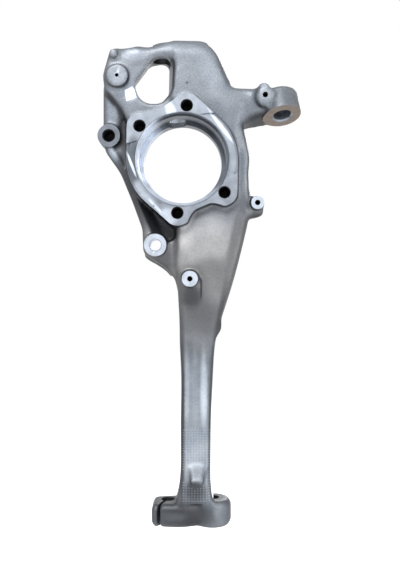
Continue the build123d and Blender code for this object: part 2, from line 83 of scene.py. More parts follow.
# %% [markdown]
# ## Camera first
#
# The photograph looks straight at the hub face along +Y. Its frame is 400 by 570 pixels, and the
# spacing of the bearing bolts gives 120 mm in 108 pixels at the hub face. A distance and those two
# sizes fix the lens, so the camera comes before anything else and is never moved to suit a piece.

# %% Camera
FRAME_HEIGHT = 570  # pixels; the frame's longer side, which the sensor's width stands for
BOLT_CIRCLE = 120.0  # mm across the four bearing bolts
BOLT_CIRCLE_PIXELS = 108.0
PIXEL = BOLT_CIRCLE * MM / BOLT_CIRCLE_PIXELS
CAMERA_PLACE = Vector((20.0, -800.0, -140.0)) * MM
SENSOR = 36.0

camera_data = bpy.data.cameras.new("studio_camera")
camera_data.sensor_width = SENSOR
camera_data.lens = SENSOR * -CAMERA_PLACE.y / (FRAME_HEIGHT * PIXEL)
camera = bpy.data.objects.new("studio_camera", camera_data)
camera.location = CAMERA_PLACE
camera.rotation_euler = (pi / 2, 0, 0)
bpy.context.collection.objects.link(camera)
bpy.context.scene.camera = camera
print("lens", round(camera_data.lens, 1), "mm at", [round(v, 3) for v in camera.location])

# %% [markdown]
# ## Small helpers
#
# Every mesh below is built from a turned profile or from an outline pulled along an axis, as on a
# lathe and a mill. Both helpers close their mesh, because the boolean and the voxel remesh need
# solids without holes. All numbers are millimetres until the last moment.

# %% Mesh helpers
def add_object(name, mesh_builder, material=None):
    """Link a finished bmesh as an object at the origin, in metres."""
    mesh = bpy.data.meshes.new(name)
    bmesh.ops.recalc_face_normals(mesh_builder, faces=mesh_builder.faces)
    mesh_builder.to_mesh(mesh)
    mesh_builder.free()
    mesh.transform(Matrix.Scale(MM, 4))
    if material:
        mesh.materials.append(material)
    piece = bpy.data.objects.new(name, mesh)
    bpy.context.collection.objects.link(piece)
    return piece


def along(place, direction):
    """A matrix that carries +Z at the origin to a direction at a place."""
    turn = Vector(direction).to_track_quat("Z", "Y").to_matrix().to_4x4()
    return Matrix.Translation(Vector(place)) @ turn


def turned(builder, profile, place=(0, 0, 0), direction=(0, 1, 0), segments=64):
    """Revolve (height, radius) pairs round an axis; ends at radius 0 close the solid."""
    rings = []
    for height, radius in profile:
        count = 1 if radius == 0 else segments
        ring = []
        for i in range(count):
            a = 2 * pi * i / segments
            ring.append(builder.verts.new((radius * cos(a), radius * sin(a), height)))
        rings.append(ring)
    for lower, upper in zip(rings, rings[1:]):
        for i in range(segments):
            j = (i + 1) % segments
            corners = [
                lower[i % len(lower)],
                lower[j % len(lower)],
                upper[j % len(upper)],
                upper[i % len(upper)],
            ]
            corners = list(dict.fromkeys(corners))  # at a pole two corners are the same point
            if len(corners) > 2:
                builder.faces.new(corners)
    verts = [v for ring in rings for v in ring]
    bmesh.ops.transform(builder, matrix=along(place, direction), verts=verts)


def rod(builder, radius, low, high, place=(0, 0, 0), direction=(0, 1, 0), segments=64):
    """A plain closed cylinder from low to high along a direction."""
    turned(builder, [(low, 0), (low, radius), (high, radius), (high, 0)], place, direction, segments)


def prism(builder, outline, front, back, shift=(0.0, 0.0)):
    """Pull an outline of (x, z) points from one depth y to another, straight or with a slant."""
    near = [builder.verts.new((x, front, z)) for x, z in outline]
    far = [builder.verts.new((x + shift[0], back, z + shift[1])) for x, z in outline]
    builder.faces.new(near)
    builder.faces.new(list(reversed(far)))
    for i in range(len(outline)):
        j = (i + 1) % len(outline)
        builder.faces.new((near[j], near[i], far[i], far[j]))


# %% [markdown]
# ## Where the cutters go
#
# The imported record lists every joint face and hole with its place, axis, radius and length, so the
# machining below is driven by it and stays true to the measured part. A mount's axis points out of
# its mouth, the way the bolt or pin leaves.

# %% Holes from the record
def hole(name):
    """Mouth, inward direction, radius and length of a round mount, in millimetres."""
    mount = next(m for m in frame["record"]["mounts"] if m["name"] == name)
    outward = Vector(mount["axis"]).normalized()
    length = mount["dims"]["length_mm"]
    mouth = Vector(mount["pos_m"]) / MM + outward * length / 2
    return mouth, -outward, mount["dims"]["r_mm"], length


HUB_BOLTS = ["bearing_bolt_" + side for side in ("top", "bottom", "left", "right")]
BRACKET_HOLES = ["side_bracket_hole", "neck_bracket_hole", "arm_bracket_hole"]
EARS = ["upper_caliper_ear", "lower_caliper_ear"]
CLAMPS = ["left_link_clamp", "right_link_clamp"]
STUD_SEATS = ["window_ball_joint_seat", "hump_ball_joint_seat"]
for name in HUB_BOLTS + BRACKET_HOLES + EARS + CLAMPS + STUD_SEATS:
    mouth, inward, radius, length = hole(name)
    print(name, [round(v, 1) for v in mouth], "r", radius, "length", length)

# %% [markdown]
# ## Outline of the bearing flange
#
# The flange is a disc with four lobes, one round each bolt, joined by straight tangents, as if a belt
# ran round all five circles. That belt is a convex hull, and Blender has one for points on a plane.
# Between the bolts that stand close together the real casting is hollowed, so there the belt is
# pulled in to an arc. The same outline serves twice: as stock and as the edge of the cut face.

# %% Flange outline
FLANGE_RADIUS = 62.5
LOBE_RADIUS = 14.5
HOLLOWS = ((113.5, 60.0, 62.0), (293.5, 28.0, 56.0))  # heading in degrees, arc's radius and distance
OUTLINE_STEP = 2.0  # mm between the outline's points


def circle_points(centre, radius, count=96):
    """Points of a circle at (x, z)."""
    angles = [2 * pi * i / count for i in range(count)]
    return [(centre[0] + radius * cos(a), centre[1] + radius * sin(a)) for a in angles]


def flange_outline():
    """Closed (x, z) outline: the belt round disc and lobes, hollowed in two places."""
    cloud = circle_points((0, 0), FLANGE_RADIUS)
    for name in HUB_BOLTS:
        mouth = hole(name)[0]
        cloud += circle_points((mouth.x, mouth.z), LOBE_RADIUS)
    belt = [Vector(cloud[i]) for i in convex_hull_2d(cloud)]
    points = []
    for here, there in zip(belt, belt[1:] + belt[:1]):
        steps = max(1, round((there - here).length / OUTLINE_STEP))
        points += [here.lerp(there, i / steps) for i in range(steps)]
    outline = []
    for point in points:
        reach, angle = point.length, atan2(point.y, point.x)
        for heading, radius, near in HOLLOWS:
            swing = angle - radians(heading)
            side = (near + radius) * sin(swing)
            if cos(swing) > 0 and abs(side) < radius:
                reach = min(reach, (near + radius) * cos(swing) - sqrt(radius**2 - side**2))
        outline.append((reach * cos(angle), reach * sin(angle)))
    return outline


outline = flange_outline()
reach = max(hypot(*p) for p in outline)
print("flange outline", len(outline), "points, reach", round(reach, 1), "mm")

# %% [markdown]
# ## Rough casting
#
# A foundry pours the part with its holes filled and with extra metal, called stock, on every face
# that will be machined. The measured part is copied, the plugs and the stock are laid into it, and a
# voxel remesh fuses them all into one skin. Smoothing that skin then rolls every edge and fills every
# inside corner, which is how metal leaves a mould. Remesh and smooth were chosen over bevels because
# a casting has no edge that a bevel could follow from end to end.

# %% Plugs and stock
STOCK = 2.5  # mm of metal for the cutter on each face
PLUG_GROWTH = 0.5  # mm by which a plug bites into the wall of its hole
HUB_DEPTH = 50.0
EAR_RADIUS = 13.0
EYE_RADIUS = 21.5
PIN_BOSS_RADIUS = 12.8
BOSS_RADII = {"side_bracket_hole": 7.8, "neck_bracket_hole": 9.3, "arm_bracket_hole": 9.2}


def plug(builder, name):
    """Fill a round hole flush with both of its ends."""
    mouth, inward, radius, length = hole(name)
    rod(builder, radius + PLUG_GROWTH, 0, length, mouth, inward, segments=32)


def stock(builder, name, radius):
    """Extra metal on the face round a hole's mouth."""
    mouth, inward, _, _ = hole(name)
    rod(builder, radius, -STOCK, 2 * STOCK, mouth, inward, segments=48)


BORE_PLUG_GROWTH = 3.0  # the bore has steps, so its plug has to reach past the widest
filling = bmesh.new()
rod(filling, hole("bearing_seat")[2] + BORE_PLUG_GROWTH, 0, HUB_DEPTH, segments=96)
prism(filling, outline, -STOCK, STOCK)
OTHER_HOLES = ["track_rod_eye", "corner_pin_hole", "speed_sensor_hole"]
for name in HUB_BOLTS + BRACKET_HOLES + EARS + CLAMPS + STUD_SEATS + OTHER_HOLES:
    plug(filling, name)
for name in EARS:
    stock(filling, name, EAR_RADIUS)
for name, radius in BOSS_RADII.items():
    stock(filling, name, radius)
stock(filling, "corner_pin_hole", PIN_BOSS_RADIUS)
stock(filling, "track_rod_eye", EYE_RADIUS)
print("plugs and stock:", len(filling.faces), "faces")

# %% [markdown]
# ## Slots of the two clamps
#
# Each clamp of the fork head has a saw cut from its bore to the outside, so that the pinch bolt can
# close it. In the foundry there is no slot yet. A box fills it here, and the same box, longer and
# thinner, is the saw blade further down, so both follow one heading.

# %% Fill the slots
SLOT_WIDTH = 3.2
SLOT_HEADINGS = {"left_link_clamp": radians(246.0), "right_link_clamp": radians(90.0)}
SLOT_FILL = (0.5, 21.5)  # mm from the bore's axis to both ends of the filling
SLOT_FILL_SHORTER = 8.0  # mm by which it stays inside the clamp's rounded ends


def slot_box(builder, name, ends, width, length):
    """A box along a clamp's slot, between two distances from the bore's axis."""
    mouth, inward, _, depth = hole(name)
    heading = SLOT_HEADINGS[name]
    middle = Vector((cos(heading), sin(heading), 0)) * sum(ends) / 2
    made = bmesh.ops.create_cube(builder, size=1.0)
    place = Matrix.Translation(mouth + inward * depth / 2 + middle)
    size = Matrix.Diagonal((ends[1] - ends[0], width, length, 1))
    shape = place @ Matrix.Rotation(heading, 4, "Z") @ size
    bmesh.ops.transform(builder, matrix=shape, verts=made["verts"])


for name in CLAMPS:
    length = hole(name)[3] - SLOT_FILL_SHORTER
    slot_box(filling, name, SLOT_FILL, SLOT_WIDTH + 2 * PLUG_GROWTH, length)
print("slots filled:", len(CLAMPS))

# %% [markdown]
# ## Metal that the outline asks for
#
# Seen from the front, the real casting is a little fuller than the measured part in four places: a
# rim, two webs and the window's wall. A foundry would carve them into the pattern. Here thin slabs
# are laid into the part before the skin is fused, and the smoothing melts them into it, so no joint
# shows. The arm's bracket boss gets a wide, low disc round its foot in the same way.

# %% Lay in the extra metal
EXTRA_METAL = {  # outline of (x, z) points and the two depths y, mm
    "window_wall": (
        [(-22, 117), (-5, 117), (-5, 70), (-16, 64), (-22, 64)],
        (18.0, 43.0),
    ),
    "hump_rim": (
        [(34.5, 130.3), (38.4, 125.8), (41.3, 121.1), (43.5, 116.5), (45.3, 111.9), (46.9, 107.4)]
        + [(48.6, 102.8), (50.2, 98.2), (52.5, 93.6), (56, 89), (40, 84), (26, 126)],
        (17.0, 38.0),
    ),
    "lower_ear_web": (
        [(-45, -106.4), (-39.6, -111.3), (-30.8, -116), (-23.5, -120.7), (-17.7, -125.3)]
        + [(-14.5, -130), (-9, -127), (-18, -118), (-28, -111), (-41, -103)],
        (33.0, 50.0),
    ),
    "upper_ear_web": (
        [(-84, 18), (-68, -6), (-60, 2), (-59, 30), (-66, 46), (-82, 42)],
        (20.5, 38.0),
    ),
}
ARM_DISC_PLACE = (93.0, 0.0, 71.0)
ARM_DISC_RADIUS = 11.5
ARM_DISC_ENDS = (5.2, 13.2)  # depths y of its face and its back

for points, depths in EXTRA_METAL.values():
    prism(filling, points, *depths)
rod(filling, ARM_DISC_RADIUS, *ARM_DISC_ENDS, ARM_DISC_PLACE, segments=48)
fill = add_object("plugs_and_stock", filling)
print("everything that is laid in:", len(fill.data.polygons), "faces")

# %% [markdown]
# ## One skin
#
# All parts overlap now but are still separate shells. A voxel remesh wraps them in one even skin.
# Its voxels are smaller than the thinnest wall, and the smoothing after it rounds each edge by a few
# millimetres, as a mould needs. Openness and the painted light and shade are worked out on this
# skin later, because its vertices are evenly spread.

# %% Fuse and smooth the skin
VOXEL = 1.6 * MM
SMOOTH_PASSES = 12
SMOOTH_SHARE = 0.5  # how far each pass moves a vertex towards its neighbours
WELD = 1e-6  # closer vertices are merged


def fused(name, parts):
    """Join mesh copies of objects into one voxel skin."""
    joined = bmesh.new()
    for part in parts:
        joined.from_mesh(part.data)
    bmesh.ops.remove_doubles(joined, verts=joined.verts, dist=WELD)
    mesh = bpy.data.meshes.new(name)
    joined.to_mesh(mesh)
    joined.free()
    piece = bpy.data.objects.new(name, mesh)
    bpy.context.collection.objects.link(piece)
    remesh = piece.modifiers.new("skin", "REMESH")
    remesh.mode = "VOXEL"
    remesh.voxel_size = VOXEL
    smooth = piece.modifiers.new("mould_radii", "SMOOTH")
    smooth.factor = SMOOTH_SHARE
    smooth.iterations = SMOOTH_PASSES
    return piece


def apply_modifiers(piece):
    """Replace an object's mesh by the evaluated result of its modifiers."""
    graph = bpy.context.evaluated_depsgraph_get()
    mesh = bpy.data.meshes.new_from_object(piece.evaluated_get(graph))
    piece.modifiers.clear()
    piece.data = mesh
    return piece


measured_part = frame["nodes"]["steering_knuckle"]
casting = apply_modifiers(fused("knuckle_casting", [measured_part, fill]))
bpy.data.objects.remove(fill)
print("rough casting:", len(casting.data.vertices), "vertices")

# %% [markdown]
# ## Where the pattern maker blended by hand
#
# On the real casting the brow of the crown and the root of the arm have no edge at all: the pattern
# maker filled them with a large fillet by eye. A second, stronger smoothing limited to those places
# does the same. A vertex group sets the limits, because a smooth modifier can read nothing else.

# %% Blend the brow and the arm's root
BLENDS = (  # middle (x, y, z) and half width of each blended place, mm
    ((28.0, 10.0, 126.0), (42.0, 26.0, 24.0)),
    ((68.0, 12.0, 52.0), (20.0, 22.0, 42.0)),
    ((-40.0, 12.0, 124.0), (34.0, 14.0, 14.0)),
)
BLEND_PASSES = 90
BLEND_LEVELS = 5  # steps from no smoothing to full smoothing

places = np.empty(len(casting.data.vertices) * 3)
casting.data.vertices.foreach_get("co", places)
places = places.reshape(-1, 3) / MM

weights = np.zeros(len(places))
for middle, half in BLENDS:
    away = (np.abs(places - middle) / half).max(axis=1)
    # Full weight in the inner half of each place, then less and less up to its limit.
    weights = np.maximum(weights, np.clip(2.0 - 2.0 * away, 0, 1))
group = casting.vertex_groups.new(name="blended")
for level in range(1, BLEND_LEVELS + 1):
    above = weights > (level - 0.5) / BLEND_LEVELS
    below = weights <= (level + 0.5) / BLEND_LEVELS
    group.add(np.nonzero(above & below)[0].tolist(), level / BLEND_LEVELS, "REPLACE")
blend = casting.modifiers.new("hand_blend", "SMOOTH")
blend.vertex_group = group.name
blend.factor = SMOOTH_SHARE
blend.iterations = BLEND_PASSES
apply_modifiers(casting)
casting.vertex_groups.clear()
print("blended vertices:", int((weights > 0).sum()))

# %% [markdown]
# ## Where a casting turns dark
#
# Faces that look to the front or the back stay light, while steep side walls and hollows get painted
# shade, as ambient occlusion baked into the colour. Both are measured on the rough casting,
# because its vertices are even: how squarely each one faces front or back, and how much of the space
# before it is open. The open share comes from rays sent out over the half sphere round the normal.

# %% Measure openness and facing
REACH = 55.0 * MM  # farther walls don't count
RAYS = 18
SHARE_KEPT = 0.4  # of a vertex's own value, each time it is averaged with its neighbours'


def half_sphere(count):
    """Evenly spread directions round +Z, denser near the pole as light counts more there."""
    golden = pi * (3 - sqrt(5))
    spread = [(sqrt((i + 0.5) / count), golden * i) for i in range(count)]
    return [Vector((r * cos(a), r * sin(a), sqrt(1 - r * r))) for r, a in spread]


def openness(piece):
    """Share of rays from each vertex that meet nothing within reach, 0 to 1."""
    graph = bpy.context.evaluated_depsgraph_get()
    tree = BVHTree.FromObject(piece, graph)
    directions = half_sphere(RAYS)
    shares = []
    for vertex, normal in zip(piece.data.vertices, piece.data.vertex_normals):
        turn = normal.vector.to_track_quat("Z", "Y")
        start = vertex.co + normal.vector * MM  # 1 mm off the skin, clear of its own face
        free = sum(tree.ray_cast(start, turn @ way, REACH)[0] is None for way in directions)
        shares.append(free / RAYS)
    return np.array(shares)


def evened(mesh, values, passes):
    """Average a value over neighbouring vertices, again and again."""
    pairs = np.empty(len(mesh.edges) * 2, dtype=np.int64)
    mesh.edges.foreach_get("vertices", pairs)
    first, second = pairs[0::2], pairs[1::2]
    count = len(mesh.vertices)
    near = np.bincount(first, minlength=count) + np.bincount(second, minlength=count)
    near = np.maximum(near, 1)
    for _ in range(passes):
        total = np.bincount(first, values[second], count)
        total += np.bincount(second, values[first], count)
        values = SHARE_KEPT * values + (1 - SHARE_KEPT) * total / near
    return values


rough = casting.data
normals = np.empty(len(rough.vertices) * 3)
rough.vertex_normals.foreach_get("vector", normals)
open_share = evened(rough, openness(casting), passes=4)
facing = evened(rough, np.abs(normals[1::3]), passes=3)
print("openness", open_share.min().round(2), "to", open_share.max().round(2))
print("facing, mean", facing.mean().round(2))

# %% [markdown]
# ## Painted light and shade in listed places
#
# The painted shade from openness and facing doesn't give all of the light and dark on the skin. The
# rest is painted in listed places: painted shade, highlights and glare, such as the nearly black
# fork head. Those places are soft ellipses on the front view, each with one lightness, laid over
# each other as with a spray gun. They fade out on faces that don't look to the front.

# %% Painted light and shade of the cast skin
SKIN_TONE = 0.40
PAINTED_SKIN_MARKS = (  # middle x and z, half width, half height in mm, turn in degrees, painted lightness
    (22, -84, 38, 34, 0, 0.72),  # painted light on the panel under the hub
    (0, -84, 13, 15, 0, 1.00),  # glare at the panel's upper left
    (32, -126, 24, 18, 0, 0.32),  # the panel's lower part
    (62, -78, 6, 46, -14, 0.22),  # its right edge
    (-8, -98, 3.5, 28, 0, 0.12),  # shade along its left edge
    (20, -178, 26, 30, 0, 0.18),  # hollow at the head of the neck
    (14, -216, 22, 20, 0, 0.28),  # upper neck
    (9.5, -153, 10.5, 17, 0, 0.10),  # under the neck's bracket boss
    (41, -200, 5, 62, -8, 0.06),  # right edge of the upper neck
    (3.5, -262, 4.5, 44, 0, 0.62),  # left streak down the neck
    (24.5, -264, 4, 42, 0, 1.00),  # bright right streak
    (14, -264, 4.5, 46, 0, 0.50),  # between the streaks
    (14, -336, 20, 28, 0, 0.58),  # gripped part with the grid
    (32, -300, 2.6, 76, 0, 0.10),  # neck's right flank
    (-0.8, -290, 3.2, 120, 0, 0.06),  # neck's left flank
    (14, -376, 14, 11, 0, 0.05),  # foot of the neck
    (14, -354.5, 6, 5.5, 0, 0.36),  # face of the lug
    (14, -369, 9, 5.5, 0, 0.05),  # shade under the lug
    (0, -403, 42, 20, 0, 0.02),  # fork head, painted nearly black shade
    (41, -399, 5.5, 9, 0, 0.34),  # bulge of the right clamp
    (-58, 74, 7, 6.5, 0, 1.00),  # glare round the milled spot
    (-68, 86, 13, 14, 0, 0.62),  # corner boss
    (-79, 58, 6, 22, 0, 0.50),  # upper face of the left rib
    (-54, -34, 12, 52, 22, 0.05),  # valley between the rib and the hub
    (-66, 34, 5, 26, 14, 0.12),  # valley beside the upper ear
    (-21, -107, 12, 24, 0, 0.12),  # web right of the lower ear
    (89, 49, 15, 7.5, 14, 0.00),  # under the arm
    (112, 66, 16, 18, 0, 0.26),  # side of the eye
    (104, 68, 2.5, 9, -20, 0.08),  # line between the boss and the eye
    (93, 72, 8.5, 8, 0, 0.60),  # bracket boss of the arm
    (92, 84, 5.5, 4, 0, 1.00),  # glare on that boss
    (34, 96, 12, 26, 20, 0.52),  # right shoulder of the hump
    (5.4, 87.8, 1.7, 1.7, 0, 0.05),  # painted shade of a small dimple in the hump
    (84, -65, 12, 8, 0, 0.03),  # under the side bracket boss
    (-76, 15, 8, 13, 0, 1.00),  # web under the upper ear
    (-80, 70, 3.6, 13, 41, 0.00),  # painted shade along the step from the corner boss
    (-68.5, 52, 4, 13, 24, 0.00),  # its middle
    (-64, 33, 3.6, 12, 0, 0.00),  # its end at the flange
    (-14, -404, 18, 5, 0, 0.10),  # left half of the fork head
    (12, -412, 10, 9, 0, 0.00),  # hollow in its middle
    (-40, 112, 20, 4, 12, 0.30),  # wall above the window
    (-57, 125, 8, 3.5, 0, 0.85),  # top edge left of the window
    (-72.5, 97.5, 1.6, 5, -25, 1.00),  # glint on the corner boss
)
EDGE_HARDNESS = 2.0  # 1 is a plain bell curve; more gives a flatter middle and a steeper edge


def bell(x, z, wide, high, turn):
    """1 inside an ellipse on the front view and 0 far outside, with a soft edge."""
    c, s = cos(radians(turn)), sin(radians(turn))
    right, up = places[:, 0] - x, places[:, 2] - z
    away = ((right * c + up * s) / wide) ** 2 + ((up * c - right * s) / high) ** 2
    return np.exp(-(away**EDGE_HARDNESS))


def painted(level, marks):
    """A plain level with soft elliptic patches drawn over it, one after another."""
    values = np.full(len(rough.vertices), level)
    for x, z, wide, high, turn, wanted in marks:
        values += (wanted - values) * bell(x, z, wide, high, turn) * in_front
    return values


# 0 for a face that looks sideways or to the back, 1 for one that looks well to the front (-Y)
in_front = np.clip(0.5 - 2.0 * evened(rough, normals[1::3], passes=2), 0, 1)
skin_tone = painted(SKIN_TONE, PAINTED_SKIN_MARKS)
rough_places = KDTree(len(rough.vertices))
for i, vertex in enumerate(rough.vertices):
    rough_places.insert(vertex.co, i)
rough_places.balance()
print("skin tone", skin_tone.min().round(2), "to", skin_tone.max().round(2))

# %% [markdown]
# ## Finishes
#
# The whole part is one metal, and what differs is how each surface was made: cast and blasted,
# milled or drilled, and one face carries a painted brown reflection. So there are four materials,
# each named for that. Colours are written as they look, in sRGB, and one function turns them to
# the linear values that Blender wants.

# %% Node and colour helpers
def linear(hex_value):
    """An sRGB hex colour as linear RGBA."""
    channels = [int(hex_value[i : i + 2], 16) / 255 for i in (1, 3, 5)]
    return tuple([((c + 0.055) / 1.055) ** 2.4 if c > 0.04045 else c / 12.92 for c in channels] + [1.0])


def add_node(tree, kind, inputs=None, **settings):
    """Add one node; an input is a plain value or the socket that feeds it."""
    made = tree.nodes.new(kind)
    for name, value in settings.items():
        setattr(made, name, value)
    for name, value in (inputs or {}).items():
        if isinstance(value, bpy.types.NodeSocket):
            tree.links.new(value, made.inputs[name])
        else:
            made.inputs[name].default_value = value
    return made


def new_material(name):
    """An empty node material with its output and Object coordinates."""
    material = bpy.data.materials.new(name)
    material.use_nodes = True
    tree = material.node_tree
    tree.nodes.clear()
    place = add_node(tree, "ShaderNodeTexCoord").outputs["Object"]
    return material, tree, place


# %% [markdown]
# ## Cast skin
#
# This is A356 aluminium from a steel mould, blasted clean. The eye sees a dull grey metal without
# reflections, with fine grain from the blast and a faint cloudiness from the mould's coating, bluer
# on the crown and the neck than on the panel. An image could hold all of it, but noise on Object
# coordinates has no seams. The three values read below paint shade into it in hollows, on side
# walls and in the listed dark places, and paint light in the listed bright ones.

# %% Cast skin: colour of the clean metal
GRAIN = 1.7 * MM  # blasted grain is about 0.3 mm; drawn coarser so that a pixel can hold it
CLOUD = 28.0 * MM
NOISE_LOW, NOISE_HIGH = 0.3, 0.7  # a noise texture seldom leaves this range
UPPER_BLUE = (-85.0 * MM, -35.0 * MM)  # heights between which the crown's blue begins
LOWER_BLUE = (-150.0 * MM, -240.0 * MM)  # and the neck's
BLUE_METAL = ("#b8c4d4", "#e0e9f4")  # under a cloud of coating, and clear of it
GREY_METAL = ("#c8c8cc", "#e8e8ea")

cast_skin, tree, place = new_material("cast_aluminium_skin")
cloud = add_node(tree, "ShaderNodeTexNoise", {"Vector": place, "Scale": 1 / CLOUD, "Detail": 3.0})
grain = add_node(tree, "ShaderNodeTexNoise", {"Vector": place, "Scale": 1 / GRAIN, "Detail": 2.0})
cloudy = add_node(
    tree,
    "ShaderNodeMapRange",
    {"Value": cloud.outputs["Fac"], "From Min": NOISE_LOW, "From Max": NOISE_HIGH},
)
blue_metal, grey_metal = [
    add_node(
        tree,
        "ShaderNodeMix",
        {"Factor": cloudy.outputs["Result"], 6: linear(clouded), 7: linear(clear)},
        data_type="RGBA",
    )
    for clouded, clear in (BLUE_METAL, GREY_METAL)
]
split = add_node(tree, "ShaderNodeSeparateXYZ", {"Vector": place})
upper = add_node(
    tree,
    "ShaderNodeMapRange",
    {"Value": split.outputs["Z"], "From Min": UPPER_BLUE[0], "From Max": UPPER_BLUE[1]},
)
lower = add_node(
    tree,
    "ShaderNodeMapRange",
    {"Value": split.outputs["Z"], "From Min": LOWER_BLUE[0], "From Max": LOWER_BLUE[1]},
)
blued = add_node(
    tree,
    "ShaderNodeMath",
    {0: upper.outputs["Result"], 1: lower.outputs["Result"]},
    operation="MAXIMUM",
)
light_metal = add_node(
    tree,
    "ShaderNodeMix",
    {"Factor": blued.outputs[0], 6: grey_metal.outputs[2], 7: blue_metal.outputs[2]},
    data_type="RGBA",
)
print("clean metal: grain", GRAIN, "m, clouds", CLOUD, "m")

# %% Cast skin: painted shade, grain and shader
# colour of the painted shade in hollows, on side walls and in the listed dark places
PAINTED_SHADE_COLOUR = "#34363b"
OPENNESS_RANGE = (0.45, 0.95)  # from a hollow in full painted shade to open skin with none
FACING_RANGE = (0.35, 0.95)  # from a side wall in full painted shade to a face turned squarely front or back
SIDE_WALL_LIGHTNESS = 0.25  # lightness that the painted shade leaves on a side wall
GRAIN_RANGE = (0.35, 0.65)  # the middle of the noise, stretched so that the grain shows
LOW_GRAIN, CROWN_GRAIN = 0.85, 0.72  # lightness of its darkest specks, below and on the crown

open_share_read = add_node(tree, "ShaderNodeAttribute", attribute_name="openness")
hollow_shade = add_node(
    tree,
    "ShaderNodeMapRange",
    {
        "Value": open_share_read.outputs["Fac"],
        "From Min": OPENNESS_RANGE[0],
        "From Max": OPENNESS_RANGE[1],
    },
    interpolation_type="SMOOTHSTEP",
)
facing_read = add_node(tree, "ShaderNodeAttribute", attribute_name="facing")
side_wall_shade = add_node(
    tree,
    "ShaderNodeMapRange",
    {
        "Value": facing_read.outputs["Fac"],
        "From Min": FACING_RANGE[0],
        "From Max": FACING_RANGE[1],
        "To Min": SIDE_WALL_LIGHTNESS,
    },
    interpolation_type="SMOOTHSTEP",
)
painted_light_read = add_node(tree, "ShaderNodeAttribute", attribute_name="skin_tone")
unshaded_share = hollow_shade.outputs["Result"]
for share in (side_wall_shade.outputs["Result"], painted_light_read.outputs["Fac"]):
    unshaded_share = add_node(tree, "ShaderNodeMath", {0: unshaded_share, 1: share}, operation="MULTIPLY").outputs[0]
base = add_node(
    tree,
    "ShaderNodeMix",
    {"Factor": unshaded_share, 6: linear(PAINTED_SHADE_COLOUR), 7: light_metal.outputs[2]},
    data_type="RGBA",
)
darkest = add_node(
    tree,
    "ShaderNodeMapRange",
    {"Value": upper.outputs["Result"], "To Min": LOW_GRAIN, "To Max": CROWN_GRAIN},
)
speck = add_node(
    tree,
    "ShaderNodeMapRange",
    {
        "Value": grain.outputs["Fac"],
        "From Min": GRAIN_RANGE[0],
        "From Max": GRAIN_RANGE[1],
        "To Min": darkest.outputs["Result"],
    },
)
shade = add_node(
    tree,
    "ShaderNodeMix",
    {"Factor": 1.0, 6: base.outputs[2], 7: speck.outputs["Result"]},
    data_type="RGBA",
    blend_type="MULTIPLY",
)
PIT_DEPTH = 0.15 * MM
pits = add_node(
    tree,
    "ShaderNodeBump",
    {"Height": grain.outputs["Fac"], "Strength": 0.35, "Distance": PIT_DEPTH},
)
# Bare aluminium would be fully metallic. The coating and the oxide on it are not, hence 0.3.
skin = add_node(
    tree,
    "ShaderNodeBsdfPrincipled",
    {
        "Base Color": shade.outputs[2],
        "Metallic": 0.3,
        "Roughness": 0.45,
        "Normal": pits.outputs["Normal"],
    },
)
add_node(tree, "ShaderNodeOutputMaterial", {"Surface": skin.outputs["BSDF"]})
print("cast skin:", len(tree.nodes), "nodes")

# %% [markdown]
# ## Milled and turned faces
#
# The same metal fresh from the mill is brighter and bluer, with fine turning lines round the hub's
# axis. In a studio it mirrors the room, so one face is pale and the next nearly black. A true mirror
# would need that very room, so the broad light and dark fields are painted here, as ellipses on
# the faces and as sectors of the bore's wall. They are nodes and not vertex values, because the cut
# faces are large polygons with no vertices inside.

# %% Fields of light and dark on the cut faces
BORE_REACH = 52.4  # mm; the wall of the bore lies inside this radius
BORE_MARKS = (  # heading and half angle in degrees, lightness
    (72.0, 46.0, 0.12),
    (0.0, 36.0, 0.20),
    (168.0, 40.0, 0.95),
    (262.0, 50.0, 0.60),
)
CUT_TONE = 0.45
CUT_MARKS = (  # middle x and z, half width, half height in mm, turn in degrees, lightness
    (-58, 76, 14, 14, 0, 1.30),  # milled spot beside the window
    (-34, 46, 14, 8, 0, 0.42),  # flange between the left and the top lobe
    (-12.5, 54, 5.5, 12, 20, 0.85),  # pale band left of the top lobe
    (-54, -2, 8, 26, 0, 0.16),  # left relief
    (-41, -38, 9, 16, 40, 0.58),  # lower left of the flange
    (-56.6, -5, 1.5, 15, 21, 1.05),  # glint along the left edge
    (-29, -53, 1.8, 11, 43, 1.00),  # glint towards the bottom lobe
    (-15, -64, 11, 9, 0, 0.72),  # bottom lobe
    (14, -58, 8, 8, 0, 0.40),  # right of the bottom lobe
    (46, 36, 9, 18, 36, 0.52),  # right relief
    (43.5, 36.5, 2, 22, 37, 1.02),  # glint along the right relief
    (56, -44, 12, 12, 0, 0.40),  # right lobe
    (112, 68, 12, 16, 0, 0.10),  # bore of the eye
    (-83.4, 29.3, 15, 15, 0, 0.22),  # face of the upper ear
    (-30.8, -94.6, 15, 15, 0, 0.78),  # face of the lower ear
    (8.6, -133, 11, 11, 0, 0.82),  # neck's bracket boss
    (84.6, -47.6, 11, 11, 0, 0.72),  # side bracket boss
)
FADE_OUT, FADE_IN = 1.3, 0.7  # a field fades between these multiples of its half size
ANY_DEPTH = 1e3  # so large that the depth y counts for nothing


def patch(tree, place, level, mark):
    """Blend a level towards a value inside an ellipse on the front view."""
    x, z, wide, high, turn, wanted = mark
    local = add_node(
        tree,
        "ShaderNodeMapping",
        {
            "Vector": place,
            "Location": (x * MM, 0, z * MM),
            "Rotation": (0, -radians(turn), 0),
            "Scale": (wide * MM, ANY_DEPTH, high * MM),
        },
        vector_type="TEXTURE",
    )
    away = add_node(
        tree, "ShaderNodeVectorMath", {0: local.outputs["Vector"]}, operation="LENGTH"
    )
    share = add_node(
        tree,
        "ShaderNodeMapRange",
        {"Value": away.outputs["Value"], "From Min": FADE_OUT, "From Max": FADE_IN},
        interpolation_type="SMOOTHSTEP",
    )
    mixed = add_node(tree, "ShaderNodeMix", {0: share.outputs["Result"], 2: level, 3: wanted})
    return mixed.outputs[0]


SECTOR_OUT, SECTOR_IN = 1.25, 0.75  # the same for a sector and its half angle


